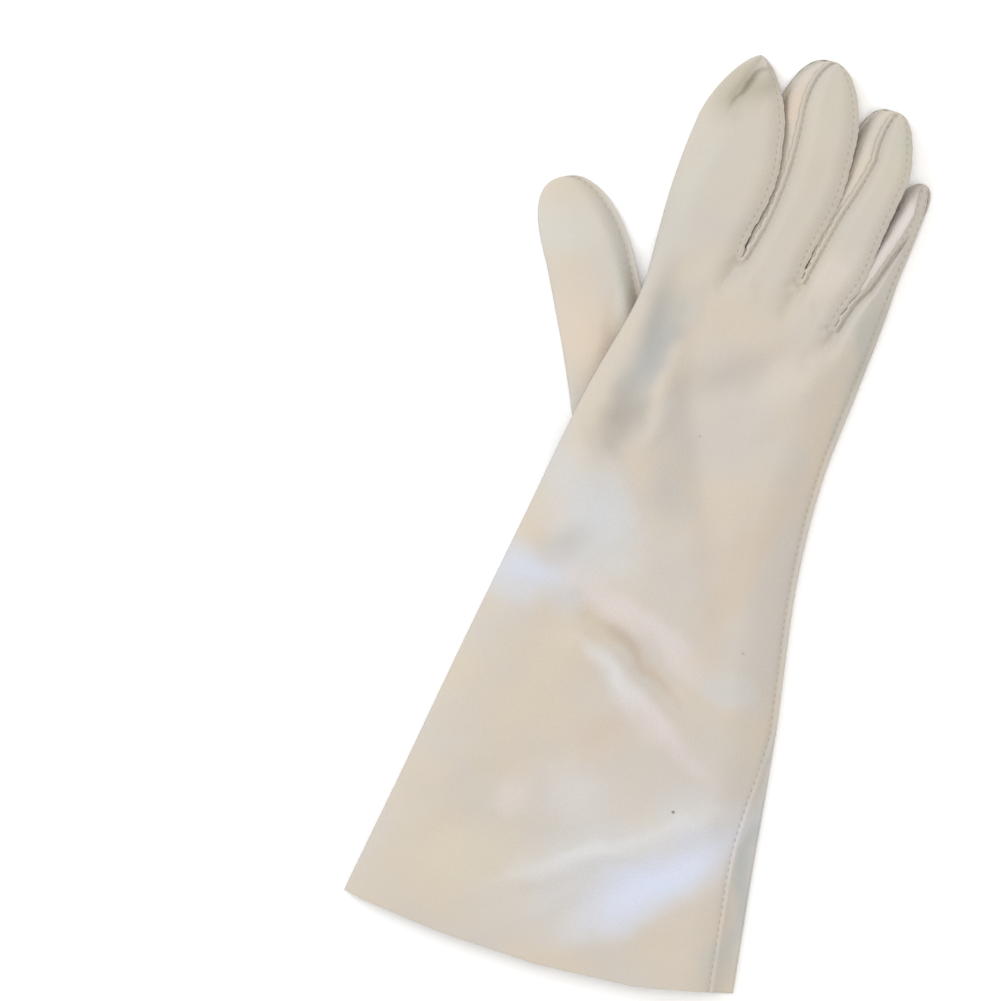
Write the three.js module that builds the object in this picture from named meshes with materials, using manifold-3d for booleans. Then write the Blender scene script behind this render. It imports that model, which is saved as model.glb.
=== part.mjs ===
// A long dress glove of cream cotton cloth for a right hand. It lies with its back up and its thumb turned out.
// Millimetres. +Y runs from the hem to the fingertips, +X from the thumb side to the little finger's side,
// and +Z up from the surface that the glove lies on.
//
// The trank is the one piece of cloth that wraps the hand: it is folded along the thumb side and sewn along
// the little finger's side. A fourchette is the V-shaped strip that makes the side walls of two neighbouring
// fingers. The thumb is a piece of its own, sewn round a hole in the palm. All seams stand outside.
import * as THREE from "three";
import Module from "manifold-3d";
import { mergeVertices } from "three/addons/utils/BufferGeometryUtils.js";

const CLOTH = 1.1; // thickness of the cloth
const GAP = 0.3; // left between two pieces that touch
const SEAM = 2.4; // width of the cloth edge that stands outside a row of stitches
const SET_IN = 1.2; // from a finger's cloth edge in to the wall of its fourchette
const HOLLOW = 0.15; // half of the least height of the hollow, along a fold or a closed seam
const CENTRE = [2.8, -1.6]; // middle of the outline in the frame of the tables, which becomes the origin

// Outline of the hand and cuff, a row for each section from the hem up. The five points of a section lie on the
// thumb side's fold, on the lines of the three finger slits, and on the little finger's side seam.
// crown is how far the back of the glove rises over its edges.
const HAND = [
  { at: "hem", line: [[-72, -187], [-31, -190.6], [9, -191], [49, -187.6], [88.5, -178.5]], crown: 6 },
  { at: "cuff", line: [[-65, -136], [-29, -138.6], [8, -139], [44.5, -136.6], [81, -131]], crown: 7.6 },
  { at: "forearm", line: [[-57.7, -80], [-26, -82], [7, -82], [40, -80], [73, -76]], crown: 8.2 },
  { at: "wrist", line: [[-49.3, -20], [-21.5, -21], [7, -21], [35, -20], [62.6, -18]], crown: 8.6 },
  { at: "heel", line: [[-42.3, 31], [-16, 31], [11, 30], [36, 27], [59.3, 25]], crown: 8.8 },
  { at: "palm", line: [[-33.6, 74], [-7, 76], [20, 74], [41, 64], [61.2, 61]], crown: 9.2 },
  { at: "knuckles", line: [[-33.9, 103], [0.6, 101.5], [26, 100.5], [44.2, 86.5], [62.6, 84]], crown: 9.6 },
];
const ROWS_BETWEEN = [4, 4, 5, 5, 5, 5]; // rows of cloth from each section to the next

// Edges of each finger as [y, x] points up from the knuckles, for its back and for its palm side, which lies
// further towards the thumb because the fingers lean. Above round_from the edges close in an oval to the tip;
// squareness is the oval's power on the left and on the right.
const FINGERS = [
  {
    name: "index", left: "fold", right: "slit", round_from: 150, crown: 4.2,
    back: {
      left: [[103, -33.9], [120, -34.5], [138, -34], [150, -33]],
      right: [[101.5, 0.6], [110, 1], [120, 3], [130, 4.4], [140, 4.2], [150, 2.2]],
      tip: [-16.5, 181.3], squareness: [1.42, 1.55],
    },
    palm: {
      left: [[103, -33.9], [120, -34.5], [138, -34], [150, -33]],
      right: [[101.5, 0.6], [110, -2.2], [120, -2.6], [130, -3], [140, -4.2], [150, -6]],
      tip: [-16.5, 181.3], squareness: [1.42, 1.9],
    },
  },
  {
    name: "middle", left: "slit", right: "slit", round_from: 161, crown: 4.2,
    back: {
      left: [[101.5, 0.6], [110, 2.7], [120, 4.7], [130, 5.7], [140, 6.1], [150, 5.8], [161, 4.9]],
      right: [[100.5, 26], [110, 26.7], [120, 28.5], [130, 30.5], [140, 31.3], [150, 30.8], [161, 29.9]],
      tip: [12, 187.8], squareness: [1.75, 2.2],
    },
    palm: {
      left: [[101.5, 0.6], [110, -0.6], [120, -1], [130, -1.4], [140, -2.4], [150, -3.6], [161, -4.7]],
      right: [[100.5, 26], [110, 23.5], [120, 24], [130, 24.5], [140, 24.5], [150, 23.5], [161, 22]],
      tip: [11.4, 187.8], squareness: [2.5, 2.2],
    },
  },
  {
    name: "ring", left: "slit", right: "slit", round_from: 155, crown: 3.8,
    back: {
      left: [[100.5, 26], [110, 27.6], [120, 29.6], [130, 31.6], [140, 34.4], [148, 36.3], [155, 37.6]],
      right: [[86.5, 44.2], [95, 46.2], [103, 49], [112, 50.7], [124, 51.6], [140, 53.4], [150, 54.5], [155, 54.2]],
      tip: [41.6, 176.4], squareness: [1.5, 2.7],
    },
    palm: {
      left: [[100.5, 26], [110, 25], [120, 25.8], [130, 26.6], [140, 27], [148, 27.1], [155, 27.3]],
      right: [[86.5, 44.2], [95, 42.5], [103, 43.5], [112, 44.8], [124, 45.8], [140, 46.8], [150, 47.6], [155, 47.8]],
      tip: [40.9, 176.5], squareness: [3.1, 2.5],
    },
  },
  {
    name: "little", left: "slit", right: "seam", round_from: 139, crown: 4.8,
    back: {
      left: [[86.5, 44.2], [94, 46.2], [100, 48.3], [105, 51.2], [110, 53], [120, 56], [130, 59], [139, 60.9]],
      right: [[84, 62.6], [100, 63.2], [110, 63.3], [120, 64], [130, 64.8], [139, 65.3]],
      tip: [62, 152.2], squareness: [2.2, 2.4],
    },
    palm: {
      left: [[86.5, 44.2], [95, 44.5], [103, 46], [110, 47.2], [120, 48.6], [130, 50], [139, 52.6]],
      right: [[84, 62.6], [100, 63.2], [110, 63.3], [120, 64], [130, 64.8], [139, 65.3]],
      tip: [61, 152.4], squareness: [2.3, 2.4],
    },
  },
];
const SIDE_ROWS = 8; // rows of cloth along a finger's sides
const TIP_ROWS = 6; // rows round its tip
const SHUT_ROWS = 2; // of those, the rows at the very tip where back and palm are sewn together
const FOURCHETTE = { knuckle: 8, middle: 10, tip: 2.5 }; // height of a finger's side wall, cloth edges included
const TIP_RAISED = 1.4; // of a fingertip's seam over the surface

// Shares of a lane's width at which its lines of cloth run, from the lane's left to its right.
// Beside a slit or a seam the next line lies SEAM inside the edge, wherever "seam" stands.
const LANES = {
  hand: [[0, 0.03, 0.11, 0.27, 0.5, 0.75, 1], [0, 0.17, 0.33, 0.5, 0.67, 0.83, 1],
    [0, 0.17, 0.33, 0.5, 0.67, 0.83, 1], [0, 0.25, 0.48, 0.67, 0.82, "seam", 1]],
  fingers: [[0, 0.05, 0.16, 0.36, 0.62, "seam", 1], [0, "seam", 0.28, 0.5, 0.72, "seam", 1],
    [0, "seam", 0.28, 0.5, 0.72, "seam", 1], [0, "seam", 0.32, 0.5, 0.7, "seam", 1]],
};

// The thumb in a frame of its own: y along the thumb from its root, x across it.
const THUMB = {
  root: [-27, 14], turn: 26.6, // where that frame's origin lies, and how far the thumb turns out, in degrees
  left: [[20, -11.6], [40, -11.6], [60, -12.2], [75, -12.8]],
  right: [[20, 26], [40, 25], [60, 23], [75, 22]],
  tip: [1, 109], tip_squareness: [2.8, 2.1],
  end: [5, -4], end_squareness: [2.2, 2.2],
  crown: 5.6, rows: 8, lines: [0, 0.05, 0.18, 0.38, 0.6, 0.78, "seam", 1],
};
// The oval hole through which thumb and palm are open to each other.
const THUMB_HOLE = { centre: [-29.2, 44.2], across: 6.9, along: 21, turn: 11, from_z: 2.45, to_z: 12 };
const LIFT = { flat: 13, foot: 36, from_y: -34 }; // how the palm is lifted over the thumb, across and along it
const SPREAD = 0.25; // share of its crown that the back loses where it is lifted

// Main soft folds in the back of the glove: a ridge, or a dent where the height is below zero, from one point to
// another. The width is from its middle to where it has fallen to a third.
const FOLDS = [
  { name: "thumb hollow", from: [-20, 88], to: [-26, 18], width: 7, height: -2.2 },
  { name: "thumb ridge", from: [-12, 72], to: [-12, 24], width: 5.5, height: 1.1 },
  { name: "wrist fold", from: [-4, 46], to: [38, -36], width: 7, height: -1.3 },
  { name: "little finger ridge", from: [52, 74], to: [27, 38], width: 6, height: 1 },
  { name: "knuckle hollow", from: [36, 78], to: [10, 52], width: 8, height: -1 },
  { name: "upper cuff ridge", from: [-22, -38], to: [58, -62], width: 7, height: 1.2 },
  { name: "cuff dent", from: [-14, -51], to: [14, -67], width: 4.5, height: -1.5 },
  { name: "lower cuff ridge", from: [-16, -60], to: [56, -96], width: 6, height: 1.4 },
  { name: "hem ridge", from: [-4, -164], to: [58, -122], width: 8, height: 1.2 },
  { name: "index tip crease", from: [-16, 177], to: [-22, 160], width: 2.6, height: -1.6 },
];

const { clamp, degToRad, lerp, smoothstep } = THREE.MathUtils;

// Height of all folds at a point of the back.
function foldHeight(x, y) {
  let height = 0;
  for (const fold of FOLDS) {
    const [ax, ay] = fold.from;
    const [bx, by] = [fold.to[0] - ax, fold.to[1] - ay];
    const along = clamp(((x - ax) * bx + (y - ay) * by) / (bx * bx + by * by), 0, 1);
    const away = Math.hypot(x - ax - along * bx, y - ay - along * by);
    height += fold.height * Math.exp(-((away / fold.width) ** 2));
  }
  return height;
}

// A point of the thumb's own frame in the frame of the tables, and the other way round.
const thumbAngle = degToRad(THUMB.turn);
function fromThumb(x, y) {
  const [s, c] = [Math.sin(thumbAngle), Math.cos(thumbAngle)];
  return [THUMB.root[0] + x * c - y * s, THUMB.root[1] + x * s + y * c];
}
function toThumb(x, y) {
  const [s, c] = [Math.sin(thumbAngle), Math.cos(thumbAngle)];
  const [dx, dy] = [x - THUMB.root[0], y - THUMB.root[1]];
  return [dx * c + dy * s, dy * c - dx * s];
}

// How high the palm is lifted at a point by the thumb that lies under it.
const EDGE_HEIGHT = 2.5; // of a fold or closed seam, over both layers of cloth
const THUMB_HEIGHT = EDGE_HEIGHT + THUMB.crown;
function lift(x, y) {
  const [across, along] = toThumb(x, y);
  const middle = (THUMB.left.at(-1)[1] + THUMB.right.at(-1)[1]) / 2;
  const fall = 1 - smoothstep(Math.abs(across - middle), LIFT.flat, LIFT.foot);
  return (THUMB_HEIGHT + GAP) * fall * smoothstep(along, LIFT.from_y, 0);
}

// x at a height y on a smooth curve through [y, x] points.
function follow(points, y) {
  let i = 0;
  while (i < points.length - 2 && y > points[i + 1][0]) i++;
  const slope = (k) => {
    const [a, b] = [points[Math.max(k - 1, 0)], points[Math.min(k + 1, points.length - 1)]];
    return (b[1] - a[1]) / (b[0] - a[0]);
  };
  const [[y0, x0], [y1, x1]] = [points[i], points[i + 1]];
  const span = y1 - y0;
  const t = (y - y0) / span;
  const bend = (1 - t) * slope(i) * span - t * slope(i + 1) * span + (2 * t - 1) * (x1 - x0);
  return lerp(x0, x1, t) + t * (1 - t) * bend;
}

// A point on an edge at step r: from 0 to 1 up its side, and from 1 to 2 round the oval to the tip.
function edgePoint(points, middle, roundFrom, tip, squareness, r) {
  if (r <= 1) {
    const y = lerp(points[0][0], roundFrom, r);
    return [follow(points, y), y];
  }
  const up = Math.sin(((r - 1) * Math.PI) / 2);
  const out = Math.max(0, 1 - up ** squareness) ** (1 / squareness);
  const x = lerp(middle, tip[0], up) + (follow(points, roundFrom) - middle) * out;
  return [x, lerp(roundFrom, tip[1], up)];
}

// Both edges of a finger's back or palm side at step r.
function fingerEdges(finger, side, r) {
  const { left, right, tip, squareness } = finger[side];
  const middle = (follow(left, finger.round_from) + follow(right, finger.round_from)) / 2;
  return [left, right].map((edge, i) =>
    edgePoint(edge, middle, finger.round_from, tip, squareness[i], r));
}

// How far the cloth has risen to its full height at a distance from its edge.
const FOLD_REACH = 13;
const SEAM_REACH = 11;
function rise(kind, distance, reachScale) {
  if (kind === "fold") {
    const t = clamp(distance / (FOLD_REACH * reachScale), 0, 1);
    return Math.sqrt(1 - (1 - t) ** 2);
  }
  const t = clamp((distance - SEAM) / (SEAM_REACH * reachScale), 0, 1);
  return Math.sin((t * Math.PI) / 2);
}

// Height of the palm side's cloth over its lowest level at a distance from an edge: the edge curls up a little.
const CURL = { fold: 1.2, seam: 1.2, slit: 0.8 };
const CURL_REACH = 5;
function curl(kind, distance) {
  const t = clamp(distance / CURL_REACH, 0, 1);
  return CURL[kind] * (1 - t) ** 2;
}

// Shares of a lane's width for its lines, with the seam's line at its real distance from the edge.
function laneShares(shares, width) {
  const seam = Math.min(SEAM / width, 0.2);
  return shares.map((s, i) => (s === "seam" ? (i < shares.length / 2 ? seam : 1 - seam) : s));
}

// Collects the vertices and triangles of one closed body.
class Skin {
  constructor() {
    this.positions = [];
    this.faces = [];
  }
  vertex(x, y, z) {
    return this.positions.push(x, y, z) / 3 - 1;
  }
  triangle(a, b, c) {
    if (a !== b && b !== c && c !== a) this.faces.push(a, b, c);
  }
  quad(a, b, c, d) {
    this.triangle(a, b, c);
    this.triangle(a, c, d);
  }
  // Faces between two lines of vertices, and the same faces turned over.
  strip(a, b) {
    for (let i = 0; i + 1 < a.length; i++) this.quad(a[i], a[i + 1], b[i + 1], b[i]);
  }
  under(a, b) {
    for (let i = 0; i + 1 < a.length; i++) this.quad(a[i], b[i], b[i + 1], a[i + 1]);
  }
  geometry() {
    const geometry = new THREE.BufferGeometry();
    geometry.setAttribute("position", new THREE.Float32BufferAttribute(this.positions, 3));
    geometry.setIndex(this.faces);
    return geometry;
  }
}

// A hollow shell has four surfaces, each a list of lines that run up the glove: the outside and the inside of
// its back, and the outside and the inside of its palm side. These functions join them up.
function fillSurfaces(skin, s) {
  for (let j = 0; j + 1 < s.back.length; j++) {
    skin.strip(s.back[j + 1], s.back[j]);
    skin.under(s.backIn[j + 1], s.backIn[j]);
    skin.strip(s.palm[j], s.palm[j + 1]);
    skin.under(s.palmIn[j], s.palmIn[j + 1]);
  }
}
// The part of each line from one row to another.
const rowsOf = (s, j, from, to) =>
  Object.fromEntries(Object.keys(s).map((key) => [key, s[key].at(j).slice(from, to)]));
function closeLeft(skin, line) {
  skin.strip(line.back, line.palm);
  skin.strip(line.palmIn, line.backIn);
}
function closeRight(skin, line) {
  skin.strip(line.palm, line.back);
  skin.strip(line.backIn, line.palmIn);
}
function rimLeft(skin, line) {
  skin.strip(line.back, line.backIn);
  skin.strip(line.palmIn, line.palm);
}
function rimRight(skin, line) {
  skin.strip(line.backIn, line.back);
  skin.strip(line.palm, line.palmIn);
}
function wallEnd(skin, s, j, row) {
  const [a, b, c, d] = [s.back, s.palm, s.palmIn, s.backIn].map((lines) => lines.at(j)[row]);
  if (j === 0) skin.quad(a, b, c, d);
  else skin.quad(a, d, c, b);
}

// Adds one place of the cloth, with its outside and inside above and below. inX is where the inside lies.
function addPlace(skin, back, palm, inBack, inPalm) {
  const middle = (back[2] + palm[2]) / 2;
  const half = Math.max((back[2] - palm[2]) / 2 - CLOTH, HOLLOW);
  return {
    back: skin.vertex(...back),
    backIn: skin.vertex(...inBack, middle + half),
    palm: skin.vertex(...palm),
    palmIn: skin.vertex(...inPalm, middle - half),
  };
}

// Where the inside lies between two edges, as a share of the width: set in from a fold or closed seam, and level
// with an open slit's edge. The set-in fades with the distance from the edge.
const FADE = [9, 2.5]; // how far it reaches from the left and from the right, in set-ins
function insideShare(share, width, sets) {
  const [left, right] = sets.map((set, i) => {
    const distance = (i === 0 ? share : 1 - share) * width;
    return set * Math.max(0, 1 - distance / Math.max(Math.min(FADE[i] * set, width), 0.01));
  });
  return share + (left - right) / Math.max(width, 0.1);
}
function insideOf([left, right], sets, share) {
  const s = insideShare(share, Math.hypot(right[0] - left[0], right[1] - left[1]), sets);
  return [lerp(left[0], right[0], s), lerp(left[1], right[1], s)];
}

// Height of the side wall at step r of a finger.
function wallHeight(r) {
  const { knuckle, middle, tip } = FOURCHETTE;
  if (r <= 1) return lerp(knuckle, middle, Math.sin((r * Math.PI) / 2));
  const up = Math.sin(((r - 1) * Math.PI) / 2);
  return lerp(middle, tip, up ** 1.5);
}
const apart = (kind, r) => (kind === "slit" ? wallHeight(r) : kind === "fold" ? 1.6 : EDGE_HEIGHT);

// Heights of back and palm side at a share u of a finger's width, at step r.
function fingerHeights(finger, r, u, width) {
  const up = r <= 1 ? 0 : Math.sin(((r - 1) * Math.PI) / 2);
  const raised = TIP_RAISED * up ** 3;
  const full = Math.sqrt(Math.max(0, 1 - up ** 2));
  const [dl, dr] = [u * width, (1 - u) * width];
  const low = raised + curl(finger.left, dl) * (1 - up) + curl(finger.right, dr) * (1 - up);
  const edge = (kind) => raised + CURL[kind] * (1 - up) + apart(kind, r) * (1 - up) + up * FOURCHETTE.tip;
  const kindEdge = (kind) => (kind === "slit" ? raised + CURL[kind] * (1 - up) + apart(kind, r) : edge(kind));
  const reach = clamp(width / (2 * FOLD_REACH), 0.01, 1);
  const bulge = rise(finger.left, dl, reach) * rise(finger.right, dr, reach);
  const extra = finger.left === "fold" ? wallHeight(r) * 0.5 * rise("fold", dl, reach) * (1 - u) : 0;
  return [lerp(kindEdge(finger.left), kindEdge(finger.right), u) + finger.crown * full * bulge + extra, low];
}

// The sections of the hand, from the hem to the knuckles, as five points each and a crown.
function handSections() {
  const rails = HAND[0].line.map((_, i) =>
    new THREE.CatmullRomCurve3(HAND.map(({ line, crown }) => new THREE.Vector3(...line[i], crown)), false, "catmullrom"));
  const sections = [];
  ROWS_BETWEEN.forEach((rows, i) => {
    for (let k = 0; k < rows; k++) sections.push((i + k / rows) / ROWS_BETWEEN.length);
  });
  sections.push(1);
  return sections.map((t) => ({ t, points: rails.map((rail) => rail.getPoint(t)) }));
}

const LINES = 6; // spaces between the lines of a lane
const KNUCKLE_BLEND = 0.78; // how far up the hand, from 0 to 1, the fingers start to show in its back

function buildTrank() {
  const skin = new Skin();
  const lanes = FINGERS.map(() => ({ back: [], backIn: [], palm: [], palmIn: [] }));
  lanes.forEach((s) => Object.values(s).forEach((lines) => {
    for (let j = 0; j <= LINES; j++) lines.push([]);
  }));
  const keep = (lane, j, place) => Object.keys(place).forEach((key) => lanes[lane][key][j].push(place[key]));

  // The hand and cuff: neighbouring lanes share the line between them.
  for (const { t, points } of handSections()) {
    const finger = smoothstep(t, KNUCKLE_BLEND, 1);
    const [left, right] = [points[0], points[4]];
    const width = left.distanceTo(right);
    for (let lane = 0; lane < 4; lane++) {
      const [a, b] = [points[lane], points[lane + 1]];
      const laneWidth = Math.hypot(b.x - a.x, b.y - a.y);
      const hand = laneShares(LANES.hand[lane], laneWidth);
      const up = laneShares(LANES.fingers[lane], laneWidth);
      for (let j = 0; j <= LINES; j++) {
        if (j === 0 && lane > 0) {
          for (const key of Object.keys(lanes[lane])) lanes[lane][key][0].push(lanes[lane - 1][key][LINES].at(-1));
          continue;
        }
        const u = lerp(hand[j], up[j], finger);
        const [x, y] = [lerp(a.x, b.x, u), lerp(a.y, b.y, u)];
        const share = (lane + u) / 4;
        const [dl, dr] = [Math.hypot(x - left.x, y - left.y), Math.hypot(x - right.x, y - right.y)];
        const whole = rise("fold", dl, 1.8) * rise("seam", dr, 1.8);
        const raised = lift(x, y);
        const crown = lerp(a.z, b.z, u) * (1 - (SPREAD * raised) / THUMB_HEIGHT);
        const high = lerp(apart("fold", 0), EDGE_HEIGHT, share) + CURL.fold + crown * whole;
        const [fingerHigh, fingerLow] = fingerHeights(FINGERS[lane], 0, u, laneWidth);
        const low = lerp(curl("fold", dl) + curl("seam", dr), fingerLow, finger);
        const back = lerp(high, fingerHigh, finger) + foldHeight(x, y) * whole;
        const across = dl / (dl + dr);
        const shift = insideShare(across, width, [CLOTH, SEAM + GAP]) - across;
        const inside = [x + shift * (right.x - left.x), y + shift * (right.y - left.y)];
        keep(lane, j, addPlace(skin, [x, y, back + raised], [x, y, low + raised], inside, inside));
      }
    }
  }
  const handRows = lanes[0].back[0].length;

  // The fingers: from the knuckles up each lane has lines of its own, which meet in one point at the tip.
  FINGERS.forEach((finger, lane) => {
    for (let row = 1; row <= SIDE_ROWS + TIP_ROWS; row++) {
      const r = row <= SIDE_ROWS ? row / SIDE_ROWS : 1 + (row - SIDE_ROWS) / TIP_ROWS;
      const atTip = row === SIDE_ROWS + TIP_ROWS;
      const shut = row >= SIDE_ROWS + TIP_ROWS - SHUT_ROWS;
      const backEdges = fingerEdges(finger, "back", r);
      const palmEdges = fingerEdges(finger, "palm", r);
      const width = Math.hypot(backEdges[1][0] - backEdges[0][0], backEdges[1][1] - backEdges[0][1]);
      const shares = laneShares(LANES.fingers[lane], Math.max(width, 0.1));
      const setIn = [finger.left, finger.right].map((kind) =>
        kind === "slit" ? (shut ? CLOTH : 0) : kind === "fold" ? CLOTH : Math.min(SEAM + GAP, width * 0.4));
      let tipPlace = null;
      for (let j = 0; j <= LINES; j++) {
        if (atTip && tipPlace) {
          keep(lane, j, tipPlace);
          continue;
        }
        const u = atTip ? 0.5 : shares[j];
        const [high, low] = fingerHeights(finger, r, u, width);
        const across = ([l, q]) => [lerp(l[0], q[0], u), lerp(l[1], q[1], u)];
        const [back, palm] = [across(backEdges), across(palmEdges)];
        const fit = Math.min(1, width / (3 * CLOTH));
        const inset = setIn.map((d) => d * fit);
        const short = r <= 1 ? 0 : CLOTH * Math.sin(((r - 1) * Math.PI) / 2) ** 4;
        const [inBack, inPalm] = [backEdges, palmEdges].map((both) => {
          const [x, y] = insideOf(both, inset, u);
          return [x, y - short];
        });
        const raised = lift(...back);
        const crease = foldHeight(...back) * rise("seam", u * width, 0.5) * rise("seam", (1 - u) * width, 0.5);
        tipPlace = addPlace(skin, [...back, high + raised + crease], [...palm, low + raised], inBack, inPalm);
        keep(lane, j, tipPlace);
      }
    }
  });

  // Hand and fingers share their lines, so each lane is filled in one go, and the slits are left open.
  const lastRow = handRows + SIDE_ROWS + TIP_ROWS - 1;
  const shutRow = lastRow - SHUT_ROWS;
  lanes.forEach((s, lane) => {
    fillSurfaces(skin, s);
    for (let j = 0; j < LINES; j++) {
      skin.quad(s.back[j][0], s.backIn[j][0], s.backIn[j + 1][0], s.back[j + 1][0]);
      skin.quad(s.palmIn[j][0], s.palm[j][0], s.palm[j + 1][0], s.palmIn[j + 1][0]);
    }
    if (lane === 0) {
      closeLeft(skin, rowsOf(s, 0));
      wallEnd(skin, s, 0, 0);
    } else {
      rimLeft(skin, rowsOf(s, 0, handRows - 1, shutRow + 1));
      closeLeft(skin, rowsOf(s, 0, shutRow));
      wallEnd(skin, s, 0, shutRow);
    }
    if (lane === 3) {
      closeRight(skin, rowsOf(s, -1));
      wallEnd(skin, s, -1, 0);
    } else {
      rimRight(skin, rowsOf(s, -1, handRows - 1, shutRow + 1));
      closeRight(skin, rowsOf(s, -1, shutRow));
      wallEnd(skin, s, -1, shutRow);
    }
  });
  return { geometry: skin.geometry(), positions: skin.positions, lanes, handRows, shutRow };
}

// A fourchette goes down one finger's side, round the foot of the slit and up the next finger's side.
const TURN_STEPS = 4; // steps of the half turn at the foot
const END_SHARE = 0.8; // how far into the last row before the closed tip it reaches
const WALL_GAP = 0.42; // between a side wall and the cloth over and under it
const LEAST_WALL = 0.8; // height under which the wall ends
const WALL_BULGE = { foot: 0.4, free: [1.3, 1.9, 2.2], from: 40, full: 9 }; // of the wall at half height: at the
// foot, for each fourchette from some way off, how far off that is, and the height of wall that has it in full
function buildFourchette(trank, lane) {
  const { positions, lanes, handRows, shutRow } = trank;
  const at = (id) => new THREE.Vector3(...positions.slice(3 * id, 3 * id + 3));
  const edge = (laneIndex, j, key) => {
    const line = lanes[laneIndex][key].at(j).slice(handRows - 1, shutRow + 1).map(at);
    line.splice(-1, 1, line.at(-2).clone().lerp(line.at(-1), END_SHARE));
    return line;
  };
  // For both the back's edge and the palm side's: the path, the direction into the finger at each step, and the
  // profile of the cloth that it meets there, as [distance from the edge, height] points.
  const profileOf = (points) => points.map((p) => [Math.hypot(p.x - points[0].x, p.y - points[0].y), p.z]);
  const path = (key, inKey) => {
    const join = (a, b) => [...a.reverse(), ...b.slice(1)];
    const line = join(edge(lane, -1, key), edge(lane + 1, 0, key));
    const cloth = [0, 1, 2, 3].map((j) => join(edge(lane, -1 - j, inKey), edge(lane + 1, j, inKey)));
    const foot = (line.length - 1) / 2;
    const turn = (from, to) => new THREE.Vector2(to.y - from.y, from.x - to.x).normalize();
    return line.flatMap((point, i) => {
      const before = line[i === foot + 1 ? foot : Math.max(i - 1, 0)];
      const after = line[i === foot - 1 ? foot : Math.min(i + 1, line.length - 1)];
      if (i !== foot) return [{ point, inward: turn(before, after), profiles: [profileOf(cloth.map((c) => c[i]))] }];
      const towardsHand = [0, 1, 2].map((k) => at(lanes[lane][inKey].at(-1)[handRows - 1 - k]));
      const sides = [[lane, -1, -1], [lane + 1, 0, 1]].map(([l, j, step]) =>
        profileOf([0, 1, 2, 3].map((k) => at(lanes[l][inKey].at(j + k * step)[handRows - 1]))));
      const profiles = [sides[0], profileOf(towardsHand), sides[1]];
      const start = turn(line[i - 1], point).angle();
      const sweep = (turn(point, line[i + 1]).angle() - start + 2 * Math.PI) % (2 * Math.PI);
      return Array.from({ length: TURN_STEPS + 1 }, (_, k) => {
        const angle = start + (sweep * k) / TURN_STEPS;
        const near = Math.round((2 * k) / TURN_STEPS - 0.01);
        const both = k % 2 ? [profiles[near], profiles[near + 1] ?? profiles[near]] : [profiles[k / 2]];
        return { point, inward: new THREE.Vector2(Math.cos(angle), Math.sin(angle)), profiles: both };
      });
    });
  };
  const [top, bottom] = [path("back", "backIn"), path("palm", "palmIn")];
  const foot = top[(top.length - 1) / 2].point;

  // A wall is set in by a distance along the cloth, and its gap counts square to the cloth, so both follow the
  // cloth where it is steep.
  const meet = (profile, distance, side) => {
    let left = distance;
    let k = 0;
    const length = (n) => Math.hypot(profile[n + 1][0] - profile[n][0], profile[n + 1][1] - profile[n][1]);
    while (k < profile.length - 2 && left > length(k)) left -= length(k++);
    const t = left / Math.max(length(k), 0.01);
    const slope = (profile[k + 1][1] - profile[k][1]) / Math.max(profile[k + 1][0] - profile[k][0], 0.01);
    return {
      out: lerp(profile[k][0], profile[k + 1][0], t),
      z: lerp(profile[k][1], profile[k + 1][1], t) + side * WALL_GAP * Math.hypot(1, slope),
    };
  };
  const corner = ({ point, inward, profiles }, set, side) => {
    const places = profiles.map((profile) => meet(profile, set, side));
    const out = Math.max(...places.map((place) => place.out));
    const heights = places.map((place) => place.z);
    const z = side < 0 ? Math.min(...heights) : Math.max(...heights);
    return new THREE.Vector3(point.x + inward.x * out, point.y + inward.y * out, z);
  };
  const face = (i, set) => {
    const [a, b] = [corner(top[i], set, -1), corner(bottom[i], set, 1)];
    const { point, inward } = top[i];
    const away = Math.hypot(point.x - foot.x, point.y - foot.y);
    const reach = lerp(WALL_BULGE.foot, WALL_BULGE.free[lane], smoothstep(away, 0, WALL_BULGE.from));
    const bulge = reach * clamp((a.z - b.z) / WALL_BULGE.full, 0, 1);
    const middle = a.clone().lerp(b, 0.5).add(new THREE.Vector3(-inward.x * bulge, -inward.y * bulge, 0));
    return [a, middle, b];
  };
  const skin = new Skin();
  const lines = Array.from({ length: 6 }, () => []);
  top.forEach((_, i) => {
    const [outer, inner] = [face(i, SET_IN), face(i, SET_IN + CLOTH)];
    if (Math.min(outer[0].z - outer[2].z, inner[0].z - inner[2].z) < LEAST_WALL) return;
    [...outer, ...inner.reverse()].forEach((p, k) => lines[k].push(skin.vertex(p.x, p.y, p.z)));
  });
  for (let k = 0; k < 6; k++) skin.strip(lines[k], lines[(k + 1) % 6]);
  const cap = (ids) => {
    for (let k = 0; k < 2; k++) skin.quad(ids[k], ids[k + 1], ids[4 - k], ids[5 - k]);
  };
  cap(lines.map((line) => line[0]));
  cap(lines.map((line) => line.at(-1)).reverse());
  return skin.geometry();
}

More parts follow.
